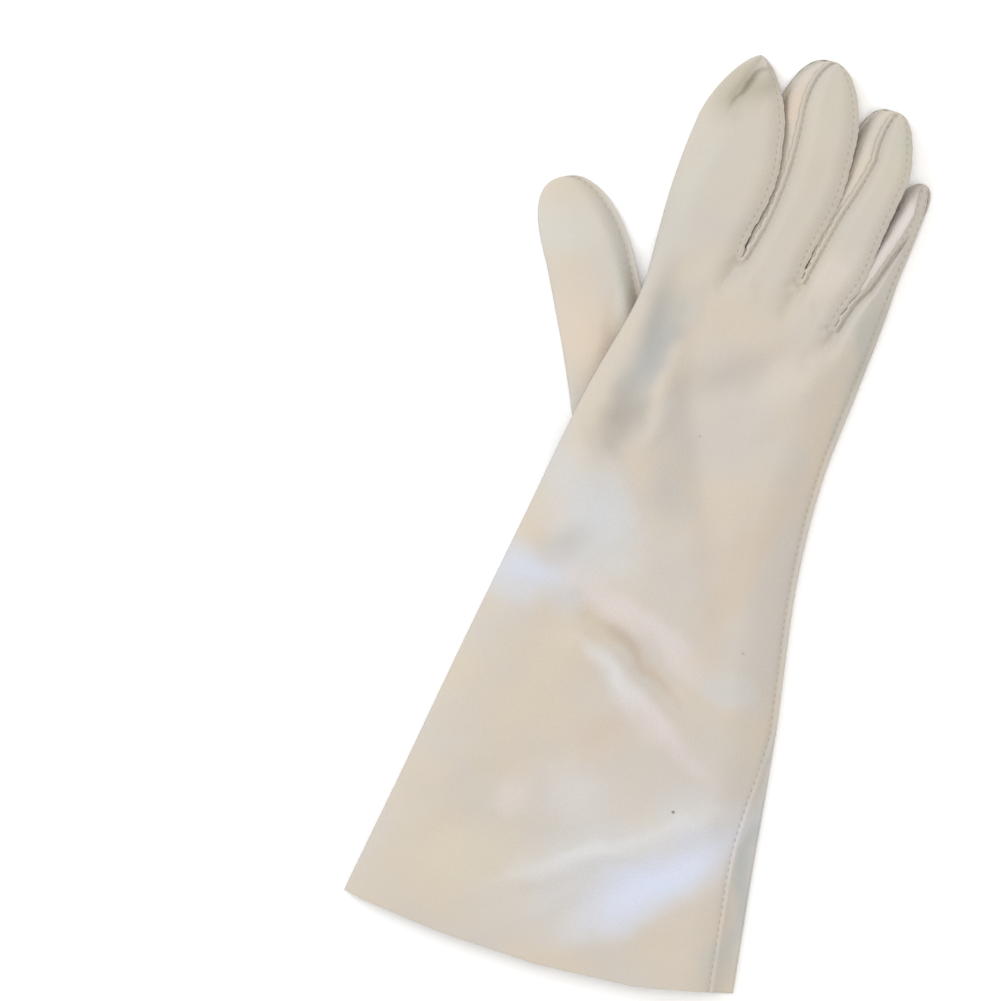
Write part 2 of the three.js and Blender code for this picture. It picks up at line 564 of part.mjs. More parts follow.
// The thumb is a closed bag with a fold on its left and a seam on its right, before its hole is cut.
function buildThumb() {
  const skin = new Skin();
  const s = { back: [], backIn: [], palm: [], palmIn: [] };
  const count = THUMB.lines.length;
  Object.values(s).forEach((lines) => {
    for (let j = 0; j < count; j++) lines.push([]);
  });
  const ends = {
    tip: { points: [THUMB.left, THUMB.right], from: 75, to: THUMB.tip, squareness: THUMB.tip_squareness },
    end: {
      points: [THUMB.left, THUMB.right].map((p) => p.map(([y, x]) => [-y, x]).reverse()),
      from: -20, to: [THUMB.end[0], -THUMB.end[1]], squareness: THUMB.end_squareness,
    },
  };
  const edges = (which, r) => {
    const { points, from, to, squareness } = ends[which];
    const middle = (follow(points[0], from) + follow(points[1], from)) / 2;
    return points.map((p, i) => {
      const [x, y] = edgePoint(p, middle, from, to, squareness[i], r);
      return [x, which === "tip" ? y : -y];
    });
  };
  const steps = [];
  for (let k = TIP_ROWS; k > 0; k--) steps.push(["end", 1 + k / TIP_ROWS]);
  for (let k = 0; k <= THUMB.rows; k++) steps.push(["tip", k / THUMB.rows]);
  for (let k = 1; k <= TIP_ROWS; k++) steps.push(["tip", 1 + k / TIP_ROWS]);
  for (const [which, r] of steps) {
    const both = edges(which, r);
    const closed = r === 2;
    const width = Math.hypot(both[1][0] - both[0][0], both[1][1] - both[0][1]);
    const up = r <= 1 ? 0 : Math.sin(((r - 1) * Math.PI) / 2);
    const shares = laneShares(THUMB.lines, Math.max(width, 0.1));
    const reach = clamp(width / (2 * FOLD_REACH), 0.01, 1);
    let place = null;
    for (let j = 0; j < count; j++) {
      if (!(closed && place)) {
        const u = closed ? 0.5 : shares[j];
        const [dl, dr] = [u * width, (1 - u) * width];
        const low = (curl("fold", dl) + curl("seam", dr)) * (1 - up) + up ** 3;
        const bulge = rise("fold", dl, reach) * rise("seam", dr, reach) * Math.sqrt(1 - up ** 2);
        const high = low + lerp(lerp(apart("fold"), EDGE_HEIGHT, u), EDGE_HEIGHT, up) + THUMB.crown * bulge;
        const inset = [CLOTH, Math.min(SEAM + GAP, width * 0.3)].map((d) => d * Math.min(1, width / (3 * CLOTH)));
        let [x, y] = insideOf(both, inset, u);
        y += (which === "tip" ? -CLOTH : CLOTH) * up ** 4;
        const out = fromThumb(lerp(both[0][0], both[1][0], u), lerp(both[0][1], both[1][1], u));
        const inside = fromThumb(x, y);
        place = addPlace(skin, [...out, Math.min(high, THUMB_HEIGHT)], [...out, low], inside, inside);
      }
      for (const key of Object.keys(s)) s[key][j].push(place[key]);
    }
  }
  fillSurfaces(skin, s);
  closeLeft(skin, rowsOf(s, 0));
  closeRight(skin, rowsOf(s, -1));
  return skin.geometry();
}

// Boolean cuts.
const wasm = await Module();
wasm.setup();
function solid(geometry) {
  const bare = geometry.clone();
  bare.deleteAttribute("normal");
  bare.deleteAttribute("uv");
  const merged = mergeVertices(bare, 1e-4);
  return new wasm.Manifold(new wasm.Mesh({
    numProp: 3,
    vertProperties: new Float32Array(merged.attributes.position.array),
    triVerts: new Uint32Array(merged.index.array),
  }));
}
function geometryOf(manifold) {
  const { vertProperties, triVerts } = manifold.getMesh();
  const geometry = new THREE.BufferGeometry();
  geometry.setAttribute("position", new THREE.BufferAttribute(vertProperties, 3));
  geometry.setIndex(new THREE.BufferAttribute(triVerts, 1));
  return geometry;
}
function thumbHole() {
  const { centre, across, along, turn, from_z, to_z } = THUMB_HOLE;
  const oval = new THREE.Shape();
  oval.absellipse(0, 0, across, along, 0, 2 * Math.PI);
  const cutter = new THREE.ExtrudeGeometry(oval, { depth: to_z - from_z, bevelEnabled: false, curveSegments: 24 });
  cutter.rotateZ(-degToRad(turn));
  cutter.translate(...centre, from_z);
  return solid(cutter);
}

const cotton = (name, color, roughness) =>
  new THREE.MeshStandardMaterial({ name, color, roughness, metalness: 0 });
const trankCotton = cotton("trank_cotton", 0xd9d2c5, 0.9);
const wallCotton = cotton("fourchette_cotton", 0xcfc6b6, 0.92);
const thumbCotton = cotton("thumb_cotton", 0xd6cdbd, 0.9);

const glove = new THREE.Group();
glove.name = "long_glove";
function add(name, geometry, material) {
  const mesh = new THREE.Mesh(geometry, material);
  mesh.name = name;
  mesh.position.set(-CENTRE[0], -CENTRE[1], 0);
  glove.add(mesh);
}
const hole = thumbHole();
const trank = buildTrank();
add("trank", geometryOf(solid(trank.geometry).subtract(hole)), trankCotton);
add("thumb", geometryOf(solid(buildThumb()).subtract(hole)), thumbCotton);
FINGERS.slice(0, 3).forEach(({ name }, lane) => {
  add(`fourchette_${name}_${FINGERS[lane + 1].name}`, buildFourchette(trank, lane), wallCotton);
});

export default glove;
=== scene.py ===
# A long dress glove of cream cotton cloth for a right hand, with its back up and its thumb turned out.
# Tables are in millimetres, in the frame in which the outline was drawn: +Y from the hem to the fingertips,
# +X from the thumb side to the little finger's side, +Z up from the surface that the glove lies on.
import math

import bmesh
import bpy
import numpy as np
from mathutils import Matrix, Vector


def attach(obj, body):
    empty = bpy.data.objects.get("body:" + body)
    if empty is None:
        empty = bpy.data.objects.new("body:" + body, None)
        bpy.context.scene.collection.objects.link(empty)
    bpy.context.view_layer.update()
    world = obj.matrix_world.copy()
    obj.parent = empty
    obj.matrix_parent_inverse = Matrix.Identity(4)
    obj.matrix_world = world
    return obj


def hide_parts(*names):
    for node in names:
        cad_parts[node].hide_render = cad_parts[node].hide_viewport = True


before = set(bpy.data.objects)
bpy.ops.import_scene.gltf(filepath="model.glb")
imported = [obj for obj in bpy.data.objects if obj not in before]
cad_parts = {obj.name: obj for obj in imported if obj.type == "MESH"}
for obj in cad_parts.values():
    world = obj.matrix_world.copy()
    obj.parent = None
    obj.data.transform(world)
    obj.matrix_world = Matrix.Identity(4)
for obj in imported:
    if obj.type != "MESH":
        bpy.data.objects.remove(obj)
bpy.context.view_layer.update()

PER_METRE = 1000  # millimetres, the unit of the tables
CLOTH = 0.8  # thickness of the cloth
GAP = 0.3  # between the palm and the thumb that lies under it
SEAM = 2.4  # width of the cloth edge that stands outside a row of stitches
SET_IN = 1.2  # from a finger's cloth edge in to the wall of its fourchette
CENTRE = (2.8, -1.6)  # middle of the outline in the frame of the tables, which becomes the origin
STITCH = 3.0  # from one stitch to the next

# The thread of one stitch, which arches up between thin ends sunk in the cloth. end is their share of the
# radius, and first is where a row of stitches starts.
THREAD = dict(length=1.9, points=5, radius=0.17, arch=0.18, sunk=0.12, end=0.25, first=0.6)

# Outline of the hand and cuff: points on the thumb side's fold, on the lines of the three finger slits
# and on the side seam. crown is how far the back rises over its edges.
HAND = [
    dict(at="hem", line=[(-72, -187), (-31, -190.6), (9, -191), (49, -187.6), (88.5, -178.5)], crown=6),
    dict(at="cuff", line=[(-65, -136), (-29, -138.6), (8, -139), (44.5, -136.6), (81, -131)], crown=7.6),
    dict(at="forearm", line=[(-57.7, -80), (-26, -82), (7, -82), (40, -80), (73, -76)], crown=8.2),
    dict(at="wrist", line=[(-49.3, -20), (-21.5, -21), (7, -21), (35, -20), (62.6, -18)], crown=8.6),
    dict(at="heel", line=[(-42.3, 31), (-16, 31), (11, 30), (36, 27), (59.3, 25)], crown=8.8),
    dict(at="palm", line=[(-33.6, 74), (-7, 76), (20, 74), (41, 64), (61.2, 61)], crown=9.2),
    dict(at="knuckles", line=[(-33.9, 103), (0.6, 101.5), (26, 100.5), (44.2, 86.5), (62.6, 84)], crown=9.6),
]

# Edges of each finger as (y, x) points up from the knuckles, for its back and for its palm side.
INDEX_FOLD = [(103, -33.9), (120, -34.5), (138, -34), (150, -33)]
LITTLE_SEAM = [(84, 62.6), (100, 63.2), (110, 63.3), (120, 64), (130, 64.8), (139, 65.3)]
FINGERS = [
    dict(
        name="index", left="fold", right="slit", round_from=150, crown=3.8,
        back=dict(
            left=INDEX_FOLD,
            right=[(101.5, 0.6), (110, 1), (120, 3), (130, 4.4), (140, 4.2), (150, 2.2)],
            tip=(-16.5, 181.3), squareness=(1.42, 1.55)),
        palm=dict(
            left=INDEX_FOLD,
            right=[(101.5, 0.6), (110, -2.2), (120, -2.6), (130, -3), (140, -4.2), (150, -6)],
            tip=(-16.5, 181.3), squareness=(1.42, 1.9)),
    ),
    dict(
        name="middle", left="slit", right="slit", round_from=161, crown=3.5,
        back=dict(
            left=[(101.5, 0.6), (110, 2.7), (120, 4.7), (130, 5.7), (140, 6.1), (150, 5.8), (161, 4.9)],
            right=[(100.5, 26), (110, 26.7), (120, 28.5), (130, 30.5), (140, 31.3), (150, 30.8), (161, 29.9)],
            tip=(12, 187.8), squareness=(1.75, 2.2)),
        palm=dict(
            left=[(101.5, 0.6), (110, -0.6), (120, -1), (130, -1.4), (140, -2.4), (150, -3.6), (161, -4.7)],
            right=[(100.5, 26), (110, 23.5), (120, 24), (130, 24.5), (140, 24.5), (150, 23.5), (161, 22)],
            tip=(11.4, 187.8), squareness=(2.5, 2.2)),
    ),
    dict(
        name="ring", left="slit", right="slit", round_from=155, crown=3.1,
        back=dict(
            left=[(100.5, 26), (110, 27.6), (120, 29.6), (130, 31.6), (140, 34.4), (148, 36.3), (155, 37.6)],
            right=[(86.5, 44.2), (95, 46.2), (103, 49), (112, 50.7), (124, 51.6), (140, 53.4), (150, 54.5),
                   (155, 54.2)],
            tip=(41.6, 176.4), squareness=(1.5, 2.7)),
        palm=dict(
            left=[(100.5, 26), (110, 25), (120, 25.8), (130, 26.6), (140, 27), (148, 27.1), (155, 27.3)],
            right=[(86.5, 44.2), (95, 42.5), (103, 43.5), (112, 44.8), (124, 45.8), (140, 46.8), (150, 47.6),
                   (155, 47.8)],
            tip=(40.9, 176.5), squareness=(3.1, 2.5)),
    ),
    dict(
        name="little", left="slit", right="seam", round_from=139, crown=4.8,
        back=dict(
            left=[(86.5, 44.2), (94, 46.2), (100, 48.3), (105, 51.2), (110, 53), (120, 56), (130, 59),
                  (139, 60.9)],
            right=LITTLE_SEAM,
            tip=(62, 152.2), squareness=(2.2, 2.4)),
        palm=dict(
            left=[(86.5, 44.2), (95, 44.5), (103, 46), (110, 47.2), (120, 48.6), (130, 50), (139, 52.6)],
            right=LITTLE_SEAM,
            tip=(61, 152.4), squareness=(2.3, 2.4)),
    ),
]
FOURCHETTE = dict(knuckle=8, middle=10, tip=2.5)  # height of a finger's side wall, cloth edges included
TIP_RAISED = 1.4  # height of a fingertip's seam over the surface
NARROW = 9  # where a finger is narrower than this, its relief and its wall's depth grow less

# How far a side wall bulges, a reach or more from the slit's foot: under a finger's right edge, and beside
# the next finger for each fourchette. Nearer the foot the walls stay apart, and bulge from least to most. A
# wall that is less than full high bulges less. up is the share of the bulge by which it also rises. sharp
# sets how high it bulges most, at the foot and from a reach on: the less, the higher.
WALL_BULGE = dict(
    under=0.5, beside=(1.6, 2.6, 3.2), reach=32,
    apart=0.5, least=0.6, most=2,
    full=8, up=(0.5, 0.6, 0.7), sharp=(0.5, 0.75),
)
WALL_FLARE = 0.09  # share of a wall's height in which it flares out to the cloth edge
WALL_LINES = 19

# The thumb in a frame of its own: y along the thumb from its root, x across it.
THUMB = dict(
    root=(-27, 14), turn=26.6,
    left=[(20, -11.6), (40, -11.6), (60, -12.2), (75, -12.8)],
    right=[(20, 26), (40, 25), (60, 23), (75, 22)],
    tip=(1, 109), tip_squareness=(2.8, 2.1),
    end=(5, -4), end_squareness=(2.2, 2.2),
    crown=5.6,
)
LIFT = dict(flat=13, foot=36, from_y=-34)  # how the palm is lifted over the thumb, across and along it
SPREAD = 0.25  # share of its crown that the back loses where it is lifted

# Soft folds in the back: a ridge, or a dent where the height is below zero, from one point to another. The
# width is from its middle to where it has fallen to a third.
FOLDS = [
    dict(name="thumb hollow", start=(-20, 88), end=(-26, 18), width=7, height=-2.2),
    dict(name="thumb ridge", start=(-12, 72), end=(-12, 24), width=5.5, height=1.1),
    dict(name="wrist fold", start=(-4, 46), end=(38, -36), width=7, height=-1.3),
    dict(name="little finger ridge", start=(52, 74), end=(27, 38), width=6, height=1),
    dict(name="knuckle hollow", start=(36, 78), end=(10, 52), width=8, height=-1),
    dict(name="upper cuff ridge", start=(-22, -38), end=(58, -62), width=7, height=1.2),
    dict(name="cuff dent", start=(-12, -54), end=(26, -71), width=4.5, height=-1.6),
    dict(name="lower cuff ridge", start=(-14, -64), end=(60, -97), width=6, height=1.6),
    dict(name="hem ridge", start=(-6, -160), end=(56, -116), width=6, height=1.4),
    dict(name="hem hollow", start=(14, -168), end=(68, -122), width=6, height=-1.1),
    dict(name="index tip crease", start=(-16, 178), end=(-21, 161), width=2.6, height=-2),
]

# Smaller folds and the dimples under the slits, as in the table above.
SMALL_FOLDS = [
    dict(name="dimple under the first slit", start=(0, 95), end=(-3, 88), width=3.2, height=-0.9),
    dict(name="dimple under the second slit", start=(26, 92), end=(24, 86), width=3.2, height=-0.9),
    dict(name="dimple under the third slit", start=(43, 80), end=(38, 70), width=3.2, height=-0.8),
    dict(name="pucker beside the first slit", start=(5, 96), end=(9, 88), width=2.4, height=0.4),
    dict(name="pucker beside the second slit", start=(30, 95), end=(34, 87), width=2.4, height=0.4),
    dict(name="thumb root edge", start=(-35, 20), end=(-6, -9), width=3.4, height=0.6),
    dict(name="wrist patch", start=(-30, -30), end=(-38, -33), width=5, height=-0.7),
    dict(name="wrist band", start=(-46, -45), end=(-24, -45), width=4.5, height=0.5),
    dict(name="second cuff crease", start=(43, -94), end=(60, -99), width=3, height=-0.5),
    dict(name="upper cuff crease", start=(-22, -42), end=(44, -68), width=3, height=0.4),
    dict(name="palm ridge", start=(-6, 38), end=(-13, 20), width=4, height=0.5),
    dict(name="mound beside the index crease", start=(-12, 172), end=(-15, 160), width=3.4, height=0.7),
]
# Faint unevenness of worn cloth, as long waves that run at an angle and start at a phase, both in radians.
WAVES = [
    dict(angle=0.9, length=31, height=0.14, start=0.3),
    dict(angle=2.2, length=23, height=0.12, start=1.7),
    dict(angle=-0.5, length=41, height=0.16, start=4.0),
    dict(angle=1.5, length=17, height=0.07, start=2.6),
]
WAVE_SHARE = dict(finger=0.6, thumb=0.5)  # how much of the waves the fingers and the thumb have
CALM = 3.5  # from a finger's edge to where its cloth has its full folds

# Where the side seam leaves the outline, how far inside it ends, and how far the cloth past it drops, over a
# step from a little outside the seam to a little inside it. Its lip is higher the further it lies inside.
SEAM_TURN = dict(start=-75, end=-134, inward=7.6, drop=0.9, step=(-0.6, 0.9), lip=0.09)

EDGE_HEIGHT = dict(fold=1.6, seam=1.7)  # over both layers of cloth
THUMB_HEIGHT = 2.5 + THUMB["crown"]  # its crown rises over its edges
CURL = dict(fold=1.2, seam=1.2, slit=0.8)  # how high the palm side's cloth curls up at an edge
CURL_REACH = 5

# How far from an edge the cloth has risen to its full height. A roll is a finger's right edge, where it
# rolls over to the side wall. HAND_REACH is how much wider the hand's edges are than a finger's.
REACH = dict(fold=13, seam=11, slit=7, roll=9)
HAND_REACH = 1.8
FINGERS_FROM = dict(back=0.86, palm=0.78)  # share of the hand's length from which it takes the fingers' form

# Relief of a sewn edge: the width of the groove on the stitches, and the place and width of the lip near the
# cloth's edge and of the pucker inside the stitches. The pulls are how far a stitch pulls these two down.
SEWN = dict(groove=0.7, lip_at=0.9, lip=0.85, lip_pull=0.16, pucker_at=1.5, pucker=1.6, pucker_pull=0.13)

# Depth of the groove and height of the lip, for each kind of sewn edge.
SEWN_EDGES = dict(
    finger_left=dict(groove=1.05, lip=0.45),
    finger_right=dict(groove=0.1, lip=0.22),
    little_side=dict(groove=0.4, lip=0.25),
    hand_side=dict(groove=0.55, lip=0.3),
    thumb=dict(groove=0.55, lip=0.35),
    crotch=dict(groove=0.8, lip=0.35),
)
UNDERSIDE = 0.4  # share of the relief that a finger's palm side has

# The cloth puckers most near a slit's foot: the lip grows by a share, and the cloth edge wavers sideways, by
# least and there by more. Both fade along the finger, and are less where it is narrow. A finger's right edge
# is also scalloped, by its stitches and by a share of the wavering.
CRIMPED = dict(lip=0.7, lip_fade=12, least=0.16, more=0.42, fade=18, narrow=12)
SCALLOP = dict(stitches=0.1, wavering=0.5, width=1.6)

# Puckers also spread round the foot, folds to a turn, and are highest at a distance away.
CROTCH = dict(radius=2.2, height=0.35, folds=5, away=4.5, width=2.6, past=0.01)


def smooth(x, low, high):
    """0 under low, 1 over high, and a soft step between them."""
    t = np.clip((np.asarray(x, float) - low) / (high - low), 0, 1)
    return t * t * (3 - 2 * t)


def mix(a, b, t):
    return a + (b - a) * t


def quarter(t):
    """A quarter of a wave from 0 to 1, steep at first and level at the end."""
    return np.sin(np.clip(t, 0, 1) * math.pi / 2)


def bell(distance, width):
    """1 at no distance, about a third at the width, and nothing far away."""
    return np.exp(-((distance / width) ** 2))


def fold_height(x, y):
    """Height of all folds at points of the back."""
    height = np.zeros(np.broadcast(x, y).shape)
    for fold in FOLDS + SMALL_FOLDS:
        ax, ay = fold["start"]
        bx, by = fold["end"][0] - ax, fold["end"][1] - ay
        along = np.clip(((x - ax) * bx + (y - ay) * by) / (bx * bx + by * by), 0, 1)
        away = np.hypot(x - ax - along * bx, y - ay - along * by)
        height = height + fold["height"] * bell(away, fold["width"])
    return height


def thumb_turn():
    """Sine and cosine of the angle by which the thumb is turned out."""
    angle = math.radians(THUMB["turn"])
    return math.sin(angle), math.cos(angle)


def turned(x, y):
    """A point of the thumb's own frame in the frame of the tables."""
    s, c = thumb_turn()
    return THUMB["root"][0] + x * c - y * s, THUMB["root"][1] + x * s + y * c


def lift(x, y):
    """How high the palm is lifted at a point by the thumb that lies under it."""
    s, c = thumb_turn()
    dx, dy = x - THUMB["root"][0], y - THUMB["root"][1]
    across, along = dx * c + dy * s, dy * c - dx * s
    middle = (THUMB["left"][-1][1] + THUMB["right"][-1][1]) / 2
    fall = 1 - smooth(np.abs(across - middle), LIFT["flat"], LIFT["foot"])
    return (THUMB_HEIGHT + GAP) * fall * smooth(along, LIFT["from_y"], 0)


def follow(points, y):
    """x at heights y on a smooth curve through (y, x) points."""
    ys, xs = (np.array(v, float) for v in zip(*points))
    y = np.asarray(y, float)
    ends = [(max(k - 1, 0), min(k + 1, len(ys) - 1)) for k in range(len(ys))]
    slopes = np.array([(xs[b] - xs[a]) / (ys[b] - ys[a]) for a, b in ends])
    i = np.clip(np.searchsorted(ys, y, side="left") - 1, 0, len(ys) - 2)
    span = ys[i + 1] - ys[i]
    t = (y - ys[i]) / span
    bend = (1 - t) * slopes[i] * span - t * slopes[i + 1] * span + (2 * t - 1) * (xs[i + 1] - xs[i])
    return mix(xs[i], xs[i + 1], t) + t * (1 - t) * bend


def edge_points(points, middle, round_from, tip, squareness, r):
    """Points on an edge at steps r: from 0 to 1 up its side, and from 1 to 2 round the oval to the tip."""
    up = quarter(r - 1)
    y_side = mix(points[0][0], round_from, np.minimum(r, 1))
    y = np.where(r <= 1, y_side, mix(round_from, tip[1], up))
    out = np.maximum(0, 1 - up ** squareness) ** (1 / squareness)
    x_tip = mix(middle, tip[0], up) + (follow(points, round_from) - middle) * out
    return np.stack([np.where(r <= 1, follow(points, y_side), x_tip), y], -1)


def finger_edges(finger, side, r):
    """Left and right edge of a finger at steps r, for its back or its palm side."""
    spec = finger[side]
    top = finger["round_from"]
    middle = (follow(spec["left"], top) + follow(spec["right"], top)) / 2
    return [
        edge_points(spec[edge], middle, top, spec["tip"], spec["squareness"][i], r)
        for i, edge in enumerate(("left", "right"))
    ]


def rise(kind, distance, scale):
    """How far the cloth has risen to its full height at a distance from its edge."""
    start = SEAM if kind in ("seam", "slit") else 0
    t = (distance - start) / (REACH[kind] * scale)
    if kind == "fold":
        return np.sqrt(1 - (1 - np.clip(t, 0, 1)) ** 2)
    return quarter(t)


def curl(kind, distance):
    """Height of the palm side's cloth over its lowest level at a distance from an edge."""
    t = np.clip(distance / CURL_REACH, 0, 1)
    return CURL[kind] * (1 - t) ** 2


def wall_height(r):
    """Height of a finger's side wall at steps r."""
    side = mix(FOURCHETTE["knuckle"], FOURCHETTE["middle"], quarter(r))
    return np.where(r <= 1, side, mix(FOURCHETTE["middle"], FOURCHETTE["tip"], quarter(r - 1) ** 1.5))


def apart(kind, r):
    """Height of the back's edge over the palm side's, at steps r."""
    return wall_height(r) if kind == "slit" else EDGE_HEIGHT[kind]


def stitched(distance, length, groove=0.75, lip=0.3):
    """Relief of a sewn edge: the two cloth edges stand up outside the groove that the stitches pull in."""
    pull = 0.5 + 0.5 * np.cos(2 * math.pi * length / STITCH)
    uneven = 0.8 + 0.3 * np.sin(length / 5.3) + 0.2 * np.sin(length / 2.1 + 1)
    inside = distance - SEAM
    dent = bell(inside, SEWN["groove"]) * (groove * (0.7 + 0.3 * pull))
    edge = bell(distance - SEWN["lip_at"], SEWN["lip"]) * (lip * uneven - SEWN["lip_pull"] * pull)
    pucker = SEWN["pucker_pull"] * pull * bell(inside - SEWN["pucker_at"], SEWN["pucker"])
    return edge - dent - pucker


def crotch_relief(x, y):
    """The sewn edge that runs round the foot of each slit, and the short puckers that spread from it."""
    total = np.zeros(np.broadcast(x, y).shape)
    for k, finger in enumerate(FINGERS[:-1]):
        cy, cx = finger["back"]["right"][0]
        away = np.hypot(x - cx, y - cy)
        angle = np.arctan2(x - cx, cy - y)
        edge = stitched(away, CROTCH["radius"] * angle, **SEWN_EDGES["crotch"])
        ring = bell(away - CROTCH["away"], CROTCH["width"])
        pucker = CROTCH["height"] * np.cos(CROTCH["folds"] * angle + k) * ring
        total = total + (edge + pucker) * (y < cy + CROTCH["past"])
    return total


def finger_heights(finger, r, u, width, length, relief=1):
    """Heights of back and palm side at shares u of a finger's width, at steps r."""
    up = quarter(r - 1)
    raised = TIP_RAISED * up ** 3
    full = np.sqrt(np.maximum(0, 1 - up ** 2))
    left, right = u * width, (1 - u) * width
    low = raised + (curl(finger["left"], left) + curl(finger["right"], right)) * (1 - up)

    def edge(kind):
        if kind == "slit":
            return raised + CURL[kind] * (1 - up) + apart(kind, r)
        return raised + (CURL[kind] + apart(kind, r)) * (1 - up) + up * FOURCHETTE["tip"]

    scale = np.clip(width / (2 * REACH["fold"]), 0.01, 1)
    over = "roll" if finger["right"] == "slit" else finger["right"]
    bulge = rise(finger["left"], left, scale) * rise(over, right, scale)
    high = mix(edge(finger["left"]), edge(finger["right"]), u) + finger["crown"] * full * bulge
    if finger["left"] == "fold":
        high = high + wall_height(r) * 0.5 * rise("fold", left, scale) * (1 - u)
    near = relief * np.clip(width / NARROW, 0, 1)
    if finger["left"] != "fold":
        groove, lip = SEWN_EDGES["finger_left"].values()
        crimped = 1 + CRIMPED["lip"] * np.exp(-length / CRIMPED["lip_fade"])
        high = high + stitched(left, length, groove, lip * crimped) * near
        low = low - UNDERSIDE * stitched(left, length) * near
    sewn = SEWN_EDGES["finger_right" if finger["right"] == "slit" else "little_side"]
    high = high + stitched(right, length, **sewn) * near
    return high, low


def rail(points, t):
    """Points at shares t of a uniform Catmull-Rom curve."""
    p = np.array(points, float)
    p = np.vstack([2 * p[0] - p[1], p, 2 * p[-1] - p[-2]])
    n = len(points) - 1
    i = np.minimum((t * n).astype(int), n - 1)
    w = (t * n - i)[:, None]
    p0, p1, p2, p3 = (p[i + k] for k in range(4))
    m1, m2 = (p2 - p0) / 2, (p3 - p1) / 2
    return p1 + m1 * w + (3 * (p2 - p1) - 2 * m1 - m2) * w ** 2 + (2 * (p1 - p2) + m1 + m2) * w ** 3


# Distances from an edge at which its lines of cloth run, and the even lines in the middle of a lane.
SEAM_LINES = (0, 0.5, 1.0, 1.5, 1.95, 2.4, 2.9, 3.6, 4.6)
FOLD_LINES = (0, 0.25, 0.8, 1.7, 3.0, 4.8)
TURN_LINES = 4  # on the strip past the side seam
MIDDLE_LINES = 18
NARROW_LANE = 14  # in a lane narrower than this, the lines at its edges lie closer
HAND_ROWS = 300
SIDE_ROWS = 66
TIP_ROWS = 30
THUMB_ROWS = dict(side=70, tip=34)
PALM_ROWS = 3  # the palm side has every third of the back's rows
INNER_ROWS = 6  # and the inner sides every sixth
FINE_LINES = 2  # lines at an outer edge where the palm side has all the rows
PLAIN_ROWS = 3  # rows at a tip that carry no stitches
INNER_GAP = 0.1  # least height between the inner sides of back and palm side
WELDED = 2e-5  # points that lie within this distance are joined, in metres


def lane_shares(width, left, right, turn=0):
    """Shares of a lane's width for its lines of cloth, where the side seam lies a turn inside its edge."""
    columns = {"fold": FOLD_LINES, "seam": SEAM_LINES, "slit": SEAM_LINES}
    rows = np.ones((len(width), 1))
    turn = np.reshape(turn, (-1, 1)) * rows
    room = np.maximum(width, 0.1)[:, None]
    a = np.array(columns[left], float) * rows
    b = np.array(columns[right], float) * rows
    if right == "seam":
        b = np.hstack([turn * k / TURN_LINES for k in range(TURN_LINES)] + [b + turn])
    fit = np.minimum(1, room / NARROW_LANE)
    low, high = a * fit / room, 1 - b[:, ::-1] * fit / room
    inner = np.linspace(0, 1, MIDDLE_LINES + 2)[1:-1]
    return np.hstack([low, low[:, -1:] + inner * (high[:, :1] - low[:, -1:]), high])


def running(points):
    """Length along a line of points."""
    steps = np.hypot(*np.diff(points, axis=0).T)
    return np.concatenate([[0], np.cumsum(steps)])


def seam_turn(y):
    """How far inside the outline the side seam lies at a height y of the hand or cuff."""
    t = (SEAM_TURN["start"] - y) / (SEAM_TURN["start"] - SEAM_TURN["end"])
    return SEAM_TURN["inward"] * quarter(t) ** 1.3


def hand_grid():
    """Back and palm side of the hand and cuff, a grid of points for each of the four finger lanes."""
    t = np.linspace(0, 1, HAND_ROWS + 1)
    rails = [rail([(*row["line"][i], row["crown"]) for row in HAND], t) for i in range(len(FINGERS) + 1)]
    left, right = rails[0][:, :2], rails[-1][:, :2]
    side_length = running(right)[:, None]
    turn = seam_turn(right[:, 1])
    inside = turn[:, None]
    finger = smooth(t, FINGERS_FROM["back"], 1)[:, None]
    finger_below = smooth(t, FINGERS_FROM["palm"], 1)[:, None]
    lanes = []
    for lane, spec in enumerate(FINGERS):
        a, b = rails[lane], rails[lane + 1]
        width = np.hypot(*(b - a)[:, :2].T)
        u = lane_shares(width, spec["left"], spec["right"], turn)
        x = mix(a[:, :1], b[:, :1], u)
        y = mix(a[:, 1:2], b[:, 1:2], u)
        share = (lane + u) / len(FINGERS)
        dl = np.hypot(x - left[:, :1], y - left[:, 1:2])
        dr = np.hypot(x - right[:, :1], y - right[:, 1:2])
        whole = rise("fold", dl, HAND_REACH) * rise("seam", dr, HAND_REACH)
        raised = lift(x, y)
        crown = mix(a[:, 2:], b[:, 2:], u) * (1 - SPREAD * raised / THUMB_HEIGHT)
        high = mix(EDGE_HEIGHT["fold"], EDGE_HEIGHT["seam"], share) + CURL["fold"] + crown * whole
        level = np.zeros_like(u)
        finger_high, finger_low = finger_heights(spec, level, u, width[:, None], side_length, relief=0)
        low = mix(curl("fold", dl) + curl("seam", dr), finger_low, finger_below)
        groove, lip = SEWN_EDGES["hand_side"].values()
        seam = stitched(dr - inside, side_length, groove, lip + SEAM_TURN["lip"] * inside)
        seam = seam - SEAM_TURN["drop"] * smooth(inside - dr, *SEAM_TURN["step"])
        high = mix(high, finger_high, finger) + crotch_relief(x, y)
        high = high + (fold_height(x, y) + wrinkles(x, y)) * whole + seam
        lanes.append((np.stack([x, y, high + raised], -1), np.stack([x, y, low + raised], -1)))
    return lanes


def wrinkles(x, y):
    """Height of the long, shallow waves that cross at several angles."""
    total = 0
    for angle, length, height, start in (wave.values() for wave in WAVES):
        phase = (x * math.cos(angle) + y * math.sin(angle)) * 2 * math.pi / length + start
        total = total + height * np.sin(phase + 1.3 * np.sin(phase * 0.37 + start))
    return total


